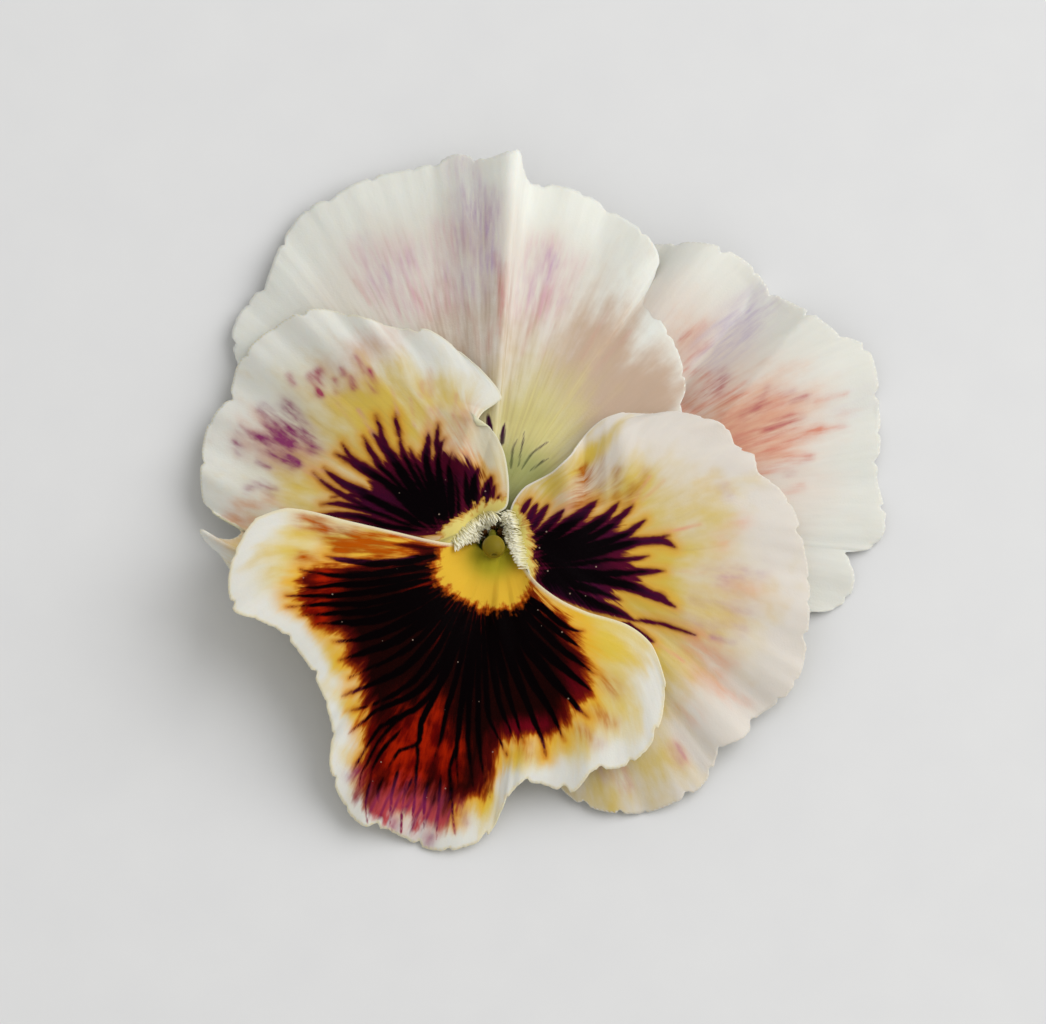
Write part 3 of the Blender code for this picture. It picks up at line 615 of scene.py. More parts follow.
upperLeft = dict(
    upperPetals, node="petal_upper_left", seed=8,
    columns=250, claw=106, spread=14, lip=8.5, nicks=34, ribs=26,
    fineVeins=52, yolkStreak=0.5, eyeRagged=0.8, greenThroat=0.6, lineStrength=0.3,
    rim=[(16.6, 9.3, 6.6), (18.4, 13, 6.1), (18.7, 16.4, 5.8), (17.6, 19.9, 5.5), (15.7, 22.9, 5.5), (15.3, 25, 5.2),
        (16.3, 27.6, 5), (15.2, 30, 4.5), (12.4, 32.2, 3.5), (9.6, 33.9, 2.7), (6, 35, 2.3), (3.9, 35.1, 2.9),
        (3.2, 36.6, 4.8), (2.6, 38.3, 6.6), (1, 37.8, 6.4), (-0.8, 37.5, 5.4), (-3, 38.2, 4.2), (-5.6, 37.1, 2.6),
        (-8.2, 36.6, 2.4), (-11.6, 36, 2.4), (-15, 34.2, 1.7), (-18.2, 32.5, 1.7), (-20.3, 29.5, 1.7),
        (-21.6, 26, 1.7), (-24.2, 22.8, 1.5), (-25, 20.4, 1.4), (-24, 16.9, 1.2), (-21.4, 13.4, 1.4)],
    folds=[(12, 13, 5, 3, 30, -0.5)],
    creases=[(1.5, 12, 1.8, 40, 9, 7.2, 1.15)],
    veins=[(0.18, 0.1, 10.5, -0.1, 11.8, -0.2, 12.9), (0.16, 1.1, 9.8, 1.2, 10.9, 1.4, 11.9),
        (0.06, 2, 7.5, 2.2, 9.5, 2.6, 10.4), (0.06, 3, 7.5, 4, 9, 5.5, 10.1), (0.06, 3.8, 7.3, 5, 8.2, 5.6, 8.5),
        (0.06, 2.7, 7.8, 3, 9.5, 3.3, 11.1)],
    green=[(2.5, 6, 4, 4, 1.0)],
    yolk=[(3.5, 10, 9, 6, 0.95), (1.5, 16, 6, 3, 0.4)],
    # the blush here is a tan-grey painted shade, strongest in the lower right behind the side petal and on the facet
    # left of the pleat
    blush=[(-1, 19, 9, 8, 0.68), (9.5, 17.5, 8, 5.5, 1.1), (13, 13.5, 7, 5.5, 1.3), (-1.2, 28, 7, 3.4, 0.45)],
    # the broad lilac-grey strokes just left of the pleat are partly lilac flush and partly painted shade on the facet
    # that turns from the light
    flushOne=[(0.12, 0.54, -2.4, 25, -2.6, 27.1, -3.2, 30.7), (0.12, 0.54, -0.6, 24.8, -0.6, 26.8, -0.2, 31.2),
        (0.9, 0.5, -1.4, 25.1, -1.6, 33), (0.15, 0.36, -4.3, 25.8, -4, 28.1), (0.9, 0.45, -1.6, 32.3, -2.6, 36.9),
        (0.5, 0.6, 0.2, 27, 0.4, 34), (0.58, 0.33, 3.8, 24.5, 4.8, 27.8), (0.22, 0.36, 6.4, 27.8, 5.5, 25.8),
        (0.35, 0.21, -11.3, 25.8, -12.3, 29.7), (0.15, 0.3, -9.7, 25.5, -10.4, 27.1),
        (0.15, 0.24, 7.3, 23.8, 6.4, 23.5), (0.64, 0.21, -10.4, 25.1, -7.4, 28.1), (0.29, 0.3, 6.3, 27.1, 5.8, 28.4)],
    flushTwo=[(0.16, 0.77, 0.8, 20.6, 1, 23.8, 0.6, 28.1), (0.17, 0.56, -0.1, 18.9, 0.2, 21.9),
        (0.14, 0.49, 1.4, 23.2, 1.5, 27.1), (0.14, 0.42, -1.7, 21.9, -2.4, 24.8),
        (0.12, 0.35, -4.2, 22.5, -4.4, 25.8), (0.14, 0.35, -5.8, 21.9, -7.4, 24.8),
        (0.14, 0.35, -8.1, 21.9, -10, 25.1), (0.14, 0.42, -11.7, 23.5, -13.1, 25.8),
        (0.14, 0.35, 3, 18.6, 4.7, 24.2), (0.14, 0.35, 4.7, 18, 7.1, 23.8), (0.16, 0.35, 3.7, 20.6, 5.6, 24.5),
        (0.16, 0.28, 8.6, 18, 11.2, 22.5), (0.16, 0.35, -2.9, 20.6, -3.5, 23.2),
        (0.14, 0.35, -0.9, 18.6, -1.4, 21.9), (0.16, 0.24, 10.2, 17.3, 13.5, 20.6)],
    flushThree=[(1.3, 0.6, -9.5, 23.5, -12, 28), (1.1, 0.5, -7, 23, -8.5, 28.5), (1.3, 0.6, -3.6, 24, -4.2, 30),
        (1.2, 0.65, 3.4, 23.6, 4.8, 28.6), (1.0, 0.5, 5.6, 23, 7.2, 27.4)],
    colors=dict(upperPetals["colors"], veinTip="#4A1A40", blush="#C4AC97", emberPale="#5C2450", rim="#E4E4DC",
        body="#DDD7CC", yolk="#D4C98A", halo="#E6DDA4", haloNear="#CDB48C", blotchDeep="#3E1034",
        blotchEdge="#5C2450", blotchVein="#2C0A26", ember="#5C2450", plum="#5C2450", flushOne="#BA9EBA",
        flushTwo="#C8948A", flushThree="#D0A4AE", vein="#A98C70", eye="#DDE0A8", eyeBorder="#DDE0A8",
        throat="#8C9A58", edge="#E6E7DF", back="#E0E1D0"),
)

sidePetals = dict(
    slot="petal_side",
    rows=134, columns=300, lip=9.8, rise=0.6,
    depth=3.4, groundSoft=0.3, veinCore=(0.02, 0.36), tipFade=0.85, auraStep=(0.2, 0.12), rimClear=0.2,
    litEdgeLine=0.25, yolkStreak=1.15, eyeFringe=0.42, eyeRagged=1.7, greenThroat=0.0,
    colors=dict(rosy="#A44A58", emberPale="#7A1A2A", blotchVein="#050103", ember="#7A1A2A", eyeBorder="#C48A34",
        throat="#A9B24E"),
)

lateralLeft = dict(
    sidePetals, node="petal_lateral_left", seed=14,
    claw=156, spread=19, nicks=22, nickDepth=0.4, ribs=15, rimWave=0.09,
    fineVeins=24, rimWidth=5.2, haloWidth=1.5, haloNear=0.6, lineStrength=0.3,
    rim=[(-1, 17.2, 9.3), (-3.6, 19.4, 8.6), (-6, 20.9, 7.9), (-9, 21.2, 7.3), (-12, 22, 6.7), (-15.7, 23, 5.8),
        (-18.9, 22.4, 4.8), (-22.2, 20.3, 3.6), (-24.5, 17.4, 2.5), (-25.2, 14.6, 2.3), (-27.2, 11.9, 2.3),
        (-27.8, 8.8, 2.9), (-27.8, 6, 3.2), (-27.4, 4.2, 3.2), (-26, 2.9, 3.4), (-24.6, 2.2, 3.8), (-23.9, 1.5, 4.2),
        (-24.8, 0.9, 4.6), (-26.4, 1.1, 5.1), (-27.8, 1.7, 5.7), (-27.2, 0.6, 4.7), (-25.8, -0.7, 3.9),
        (-24.8, -2.2, 3.6), (-23.6, -2.9, 3.6)],
    firstSide=[(0.2, 3.5, 9.6), (1.3, 4.1, 9.8), (1.6, 5.6, 10), (1.4, 8.2, 10.2), (1, 10.6, 10.4),
        (0.3, 13.2, 10.4), (0.4, 15, 10)],
    firstTurn=[(0.3, 3.3, 9.6), (1.5, 3.8, 9.8), (1.8, 5.2, 10), (1.7, 7.2, 10.2), (1.2, 9.4, 10.6),
        (-0.1, 11.4, 10.8), (-1.2, 11.5, 10.2), (-0.6, 13.0, 10), (1.1, 14.3, 9.9)],
    secondSide=[(-3.4, 0.6, 9.8), (-5.6, -0.9, 9.5), (-10.6, -3, 8.3), (-16, -4.6, 6.6), (-20.8, -4.6, 4.6)],
    folds=[(0.3, 9.2, 2.8, 1.1, 100, 0.6)],
    creases=[(-3.3, 7.0, -1.3, 13.4, 2.2, 3.4, 1.1)],
    blotch=[(-4.7, 1.5), (-7, 1.5), (-9.3, 2), (-11.5, 2.9), (-12.9, 3.8), (-12.4, 4.7), (-11.5, 5.3), (-11.1, 6.6),
        (-10.1, 7.8), (-8.6, 8.6), (-7.1, 8.9), (-5.9, 8.6), (-4.8, 8.8), (-3.4, 8.7), (-2.2, 8.1), (-1.0, 7.3),
        (-1.3, 4.8), (-2.1, 3.5), (-3, 2.7), (-3.9, 1.7)],
    veins=[(0.2, -6.5, 0.9, -10, 0.8, -13.5, 1.3, -16.2, 1.6), (0.2, -9, 1.6, -12.6, 2.2, -15.4, 2.3, -17.3, 2.4),
        (0.35, -6.1, 1.5, -9.3, 2, -12.4, 2.9, -15.1, 3.1, -16.4, 3.1),
        (0.26, -7, 1.8, -10.2, 3.1, -12.9, 3.9, -14.9, 4.2, -16.1, 4.1),
        (0.23, -6.6, 1.8, -9.3, 3.4, -11.5, 4.5, -13.3, 5, -15.1, 4.8),
        (0.26, -6.1, 1.6, -9.3, 2.7, -11.5, 3.6, -13.1, 4.5, -14.7, 5.4, -16, 6.3, -16.9, 7.1),
        (0.44, -5.7, 1.6, -8.4, 3.2, -10.6, 4.3, -12.4, 5.3, -14, 6.1, -15.1, 6.9, -15.9, 7.6),
        (0.49, -5.2, 1.7, -7.5, 3.9, -9.3, 5.7, -11.3, 7.1, -13.1, 8.2, -14.8, 9),
        (0.26, -9.3, 5.7, -11.1, 7, -12.6, 8, -13.5, 8.9, -14.1, 9.9),
        (0.35, -5.2, 1.8, -7, 4.1, -8.8, 6.1, -10.2, 7.5, -11.3, 9, -12.1, 10.6),
        (0.52, -5, 1.8, -6.3, 3.9, -7.7, 6.1, -9, 8.1, -10.2, 9.7, -11.3, 11.1),
        (0.26, -7.7, 6.1, -9.3, 8.4, -10.1, 9.9, -10.6, 11.7, -10.9, 12.6),
        (0.4, -4.7, 2, -5.4, 3.9, -6.6, 5.9, -7.7, 7.9, -8.4, 9.3, -8.6, 10.6),
        (0.35, -4.4, 2.1, -5.2, 4.1, -6.1, 6.1, -7, 7.9, -7.7, 9.5),
        (0.49, -4.2, 2.2, -5, 4.5, -5.7, 6.6, -6.1, 8.4, -5.9, 10.1, -5.9, 11),
        (0.44, -4, 2.3, -4.4, 4.3, -4.8, 6.6, -4.9, 8.4, -4.7, 9.7, -4.3, 10.4),
        (0.17, -4.8, 7.9, -5, 9.3, -5, 10.6, -4.9, 11.8),
        (0.44, -3.7, 2.4, -3.7, 4.5, -3.8, 6.6, -3.9, 7.9, -3.6, 9.1),
        (0.29, -3.1, 2.9, -3, 4.5, -3.2, 6.1, -3.4, 7.5), (0.38, -2, 3.6, -2.2, 5.2, -2.3, 6.6, -2.4, 7.9),
        (0.44, -1.5, 4.1, -1.6, 5.7, -1.4, 7, -1.1, 7.6), (0.38, -0.5, 4, -0.4, 5, -0.1, 6.1, 0.2, 6.8),
        (0.17, 0.2, 4.7, 0.3, 5.4, 0.5, 6), (0.14, 0.7, 4.2, 0.8, 4.6, 0.9, 5),
        (0.12, -8.6, 10.6, -8.9, 11.7, -9, 12.8)],
    eye=[(-5.3, -1.4), (-5.1, 0.6), (-4.3, 1.6), (-3, 2.6), (-1.9, 3.5), (-0.9, 4.1), (0.2, 4.3), (2.4, 4.7), (2, 2),
        (-1, 0)],
    yolk=[(0.4, 7.5, 3, 1.5, 0.5), (-10.5, 12, 6, 6.5, 1.0), (-16.5, 5.5, 6, 4.5, 0.72), (-4, 13.5, 4.5, 4, 0.5),
        (-22, 0, 4, 4, 0.6)],
    plum=[(-6, 9.6, 2.2, 1.6, 0.6), (-1.6, 7.6, 2.4, 1.4, 0.6), (-11.5, 4.5, 3.5, 1.8, 0.9), (-11, 1, 3, 1.2, 0.5)],
    # the blush here is partly painted shade: greyish pink along the top rim, which turns from the light
    blush=[(-12, 18.5, 3, 7, 0.65), (-20.5, 9.5, 6, 3, 0.8), (-12.8, 15.5, 3, 4, 0.7), (-24, 1.6, 3, 3, 0.6)],
    flushOne=[(0.35, 1.62, -18.7, 8.1, -20, 8.9, -21.2, 9.6, -22.2, 10.3),
        (0.47, 1.08, -16.9, 9.8, -18, 11, -18.9, 12.4, -19.5, 13.5),
        (0.33, 0.81, -18.9, 11, -19.8, 11.7, -20.7, 12.4, -21.8, 13.3),
        (0.51, 1.28, -19.1, 10.1, -20.3, 10.8, -21.2, 11.4), (0.26, 0.94, -22.1, 10.1, -23.2, 10.8, -24, 11.3),
        (0.26, 0.94, -24, 9.3, -24.4, 10), (0.18, 0.68, -21.2, 7.7, -22.3, 8.2),
        (0.29, 0.61, -20.8, 5.5, -22.1, 6, -23.2, 5.7)],
    # the wider salmon strokes by the notch, beside the crease, are partly painted shade; the thin ones are streaks
    flushTwo=[(0.1, 0.8, -7.2, 11.6, -7.6, 14.2), (0.1, 0.7, -8.8, 12.8, -9.4, 15.4),
        (0.1, 0.7, -3.6, 11.4, -3.2, 14.6), (0.12, 0.8, -11, 10.6, -12.6, 13.2), (0.1, 0.7, -15.4, 6.2, -18, 7.4),
        (0.12, 0.7, -16.6, 3.2, -20, 3.6), (0.1, 0.6, -12.8, 11.2, -14.6, 13.8),
        (0.19, 0.66, -6.6, 14.6, -6.5, 15.6), (0.19, 0.55, -5.7, 14.6, -5.8, 16.9),
        (0.43, 0.77, -25, 2.7, -22.7, 2.4), (0.59, 0.55, -24.1, 3.9, -21.2, 4.3),
        (0.59, 0.77, -2.1, 12.8, -3.2, 11, -3.7, 9.7), (0.54, 0.77, -2.8, 10.1, -2.1, 8.8),
        (0.26, 0.55, -13.1, 15.8, -13.3, 16.9), (1.1, 0.5, -17.5, 9.3, -23, 11.5),
        (0.24, 0.66, -5.9, 11, -5.8, 13.1), (0.24, 0.55, -5, 11.8, -5, 13.3), (0.24, 0.55, -16, 7.5, -17.8, 8.1)],
    flushThree=[(0.26, 1.1, -16.3, 14.8, -16.4, 15.8, -16.4, 16.8), (0.23, 0.8, -16.7, 15.9, -17.3, 16.4),
        (0.18, 0.9, -14, 16.7, -14.2, 17.1), (0.18, 0.9, -13, 15.3, -13.2, 16.3),
        (0.29, 0.75, -11.1, 15.1, -11.3, 15.9, -11.5, 16.7), (0.18, 0.75, -14.7, 15, -14.9, 16),
        (0.17, 0.6, -12.1, 16.9, -12.9, 18.2), (0.21, 0.6, -18.9, 15.8, -19.3, 16.5)],
    colors=dict(sidePetals["colors"], veinTip="#3A0C2C", blush="#C9A494", rim="#E2E1D9", body="#DAD2B8",
        yolk="#D6B956", halo="#D69C30", haloNear="#94481E", blotchDeep="#220414", blotchEdge="#4E0A22",
        plum="#3E0826", flushOne="#8C3C68", flushTwo="#D2A080", flushThree="#A4485E", vein="#A98A50", eye="#DCCB78",
        edge="#E0DAC2", back="#D6D2AC"),
)

lateralRight = dict(
    sidePetals, node="petal_lateral_right", seed=19,
    claw=2, spread=15, nicks=30, nickDepth=0.45, ribs=20, rimWave=0.08,
    veinCurve=0.035, fineVeins=34, rimWidth=6, haloWidth=1.6, haloNear=0.5, lineStrength=0.25,
    rim=[(5.6, -21.6, 1.5), (8.2, -24.2, 1), (12.2, -25.4, 0.7), (16.2, -24.9, 0.7), (19.8, -23.2, 0.9),
        (21.4, -20.8, 1.5), (22, -19.2, 2.3), (24.3, -18.2, 2.2), (25.7, -16, 1.7), (28.2, -14.4, 1.8),
        (29.8, -11.8, 2.4), (30.5, -7.4, 2.9), (30.6, -3.2, 3.3), (29.9, 1, 3.6), (28.9, 4.2, 4.1), (27.2, 6.2, 4.7),
        (25.7, 7.1, 5.2), (25.3, 9, 5.7), (23.4, 10, 6.2), (22.9, 11.4, 6.6), (20.8, 12.3, 7.2), (17.8, 13.1, 7.9),
        (15.3, 12.8, 7.9), (12.7, 12.9, 8.6)],
    firstSide=[(2.9, -0.6, 9.9), (3.7, -2.5, 9.9), (4.7, -9.4, 7.6), (5.2, -16, 4.4)],
    secondSide=[(2.1, 4.2, 9.8), (3.4, 5.9, 9.9), (6, 7.2, 10.2), (7.7, 8.8, 10.6), (8.9, 10.8, 10.6),
        (10.6, 12.2, 9.6)],
    folds=[(7.4, 6.0, 3.6, 1.5, 98, 1.1), (12.8, 9, 4, 1.3, 98, 0.6)],
    creases=[(9.0, 3.5, 8.8, 14.0, 2.2, 0.8, -0.9)],
    blotch=[(4.2, 0.8), (6, 1.7), (7.6, 2.4), (9.3, 2.5), (11, 2.4), (12.5, 1.8), (13.4, 0.9), (13, -0.6),
        (13.4, -1.6), (14, -2.6), (13.4, -3.5), (12, -4.2), (11.6, -5.1), (12.4, -6), (11, -5.9), (8.3, -4.7),
        (6, -3.6), (4.5, -2.9), (4.2, -1.6)],
    veins=[(0.21, 3.1, 3.3, 3.5, 4.1, 3.9, 4.7), (0.29, 3.8, 2.6, 4.1, 3.4, 4.5, 4.2),
        (0.29, 4, 1.7, 4.6, 2.8, 5.1, 3.5, 5.6, 4.1), (0.38, 4.1, 0.8, 5.3, 1.8, 6.3, 2.8, 7.1, 3.7),
        (0.54, 4.2, 0.3, 6, 1.1, 7.6, 2.3, 9, 3.4, 10.3, 4.6),
        (0.54, 4.2, -0.2, 6.6, 0.4, 9, 1.6, 11, 2.9, 12.3, 4.4),
        (0.46, 4.3, -0.7, 7.6, 0.3, 10.3, 1.3, 12.3, 2.8, 13.7, 4.2),
        (0.5, 4.3, -1.1, 7.6, -0.4, 10.6, 0.4, 13, 1.3, 14.8, 2.7),
        (0.5, 4.3, -1.4, 7.6, -0.9, 11, -0.2, 13.6, 0.5, 15.6, 0.8, 17.1, 1.2),
        (0.29, 13.6, 0.5, 15.6, 0.7, 16.8, 0.5, 17.7, 0),
        (0.34, 4.3, -1.7, 7.6, -1.6, 11, -1.2, 13.6, -1.1, 15.1, -0.8),
        (0.46, 4.5, -2.2, 7.6, -2.3, 11, -2.5, 14.3, -2.3, 16.6, -2.2),
        (0.5, 4.5, -2.6, 7.6, -2.7, 11, -3.1, 13.6, -3.7, 15.3, -4.4, 17.6, -5.6),
        (0.5, 4.5, -2.8, 7.6, -3.4, 10.3, -4.2, 12.5, -5), (0.54, 4.6, -3, 7, -4.1, 9.6, -5.2, 12, -6.1, 13.8, -7),
        (0.29, 12.6, -7.2, 14.6, -8.5, 15.6, -9), (0.12, 13.8, -6.9, 15.6, -7.1, 17.6, -7.6, 19.6, -8.3),
        (0.21, 15.3, -4.4, 16.3, -4.6, 17, -5.1)],
    eye=[(1.4, 4.6), (2.3, 4.1), (2.9, 3.1), (3.5, 1.8), (3.9, 0.5), (3.95, -0.8), (4.1, -2.1), (3.8, -3.2), (2, -3),
        (1, 1)],
    yolk=[(5.8, 5.8, 3.5, 2.5, 0.75), (13.5, -2.5, 7, 7, 1.15), (13, -11, 7, 7, 0.9), (14, 4, 5, 5, 0.72),
        (9.8, 9, 5, 1.3, 0.85), (10.5, 12.5, 3, 1.2, 0.6), (20, -4.5, 7, 6, 0.6), (21.5, 2.8, 5, 4.5, 0.5),
        (16.2, 4.2, 3.5, 3, 0.4), (13, -22, 6, 7, 0.62), (10, -23.5, 3, 6, 0.6)],
    plum=[(12, 1.2, 2.6, 2.0, 0.9), (9.5, -4.0, 3.0, 2.2, 1.0), (7, 3.6, 2.5, 0.8, 0.5)],
    blush=[(23, -4, 5, 3, 0.6), (20, -12, 4, 3, 0.6), (21, 5, 3, 3, 0.3)],
    flushOne=[(0.34, 0.6, 25.6, -2.5, 24.3, -2.6, 21.8, -3), (0.5, 0.3, 26, -1.8, 20.5, -2.2),
        (0.45, 0.34, 25, -5.9, 19.6, -5.0), (0.4, 0.3, 24, -7.9, 17.6, -6.6), (0.2, 0.5, 23.1, -9, 21.2, -8.5),
        (0.31, 0.58, 13.1, -22.7, 12.5, -21.2), (0.34, 0.34, 11, -21.9, 10.6, -20.9),
        (0.36, 0.29, 23.6, -4.6, 22.3, -4.2), (0.34, 0.34, 22.6, 5.1, 22.3, 5.8),
        (0.31, 0.38, 18.3, -20.2, 17.8, -18.9)],
    flushTwo=[(0.1, 0.7, 17.2, -2.2, 20.4, -2.4), (0.1, 0.7, 16.8, 1.4, 20, 2.2), (0.1, 0.6, 14.6, 4.6, 16.6, 6.4),
        (0.1, 0.7, 15.8, -9.2, 18.4, -10.8), (0.1, 0.6, 13.6, 4.4, 15.2, 6.8),
        (0.5, 0.6, 23, -10.7, 21, -10.4, 19, -9.4), (0.45, 0.4, 21.6, -12.6, 19.8, -12.1),
        (0.46, 0.55, 18.3, -20.2, 17.8, -18.9), (0.38, 0.99, 13.1, -22.7, 12.5, -21.2),
        (0.54, 0.39, 19.6, -16.1, 18.3, -15.2), (0.46, 0.44, 25, -3.9, 22.6, -3.2), (0.61, 0.44, 24, 2.4, 22.3, 0.8),
        (0.77, 0.66, 7.3, 3.4, 8.1, 4.6), (0.54, 0.44, 24.3, -14.6, 21.6, -13.6),
        (0.38, 0.66, 19.6, -8.3, 21.6, -9.2)],
    # the orange-brown strokes in the trough of the fold are partly pigment and partly painted shade under the curled
    # lobe
    flushThree=[(0.42, 0.95, 8.5, 3.8, 8.7, 5.4, 9.0, 7.2), (0.37, 0.8, 9.4, 3.1, 9.2, 5.1, 9.3, 7.3),
        (0.3, 0.5, 10.6, 4.4, 10.5, 6.4, 10.7, 8.4), (0.3, 0.35, 14.1, 5.3, 14.8, 7.3),
        (0.3, 0.5, 12, 4.8, 12.1, 7.4), (0.3, 0.6, 13, 4.1, 13.6, 5.8)],
    colors=dict(sidePetals["colors"], veinTip="#3E0C30", blush="#D4B4A8", rim="#D6CFC6", body="#D4C7AE",
        yolk="#CEB452", halo="#D2A03A", haloNear="#96501E", blotchDeep="#240416", blotchEdge="#520A26",
        plum="#420A2A", flushOne="#A87898", flushTwo="#D69A7C", flushThree="#A4601C", vein="#B4925C", eye="#DDCC74",
        edge="#DDD6CB", back="#DBD4A8"),
)

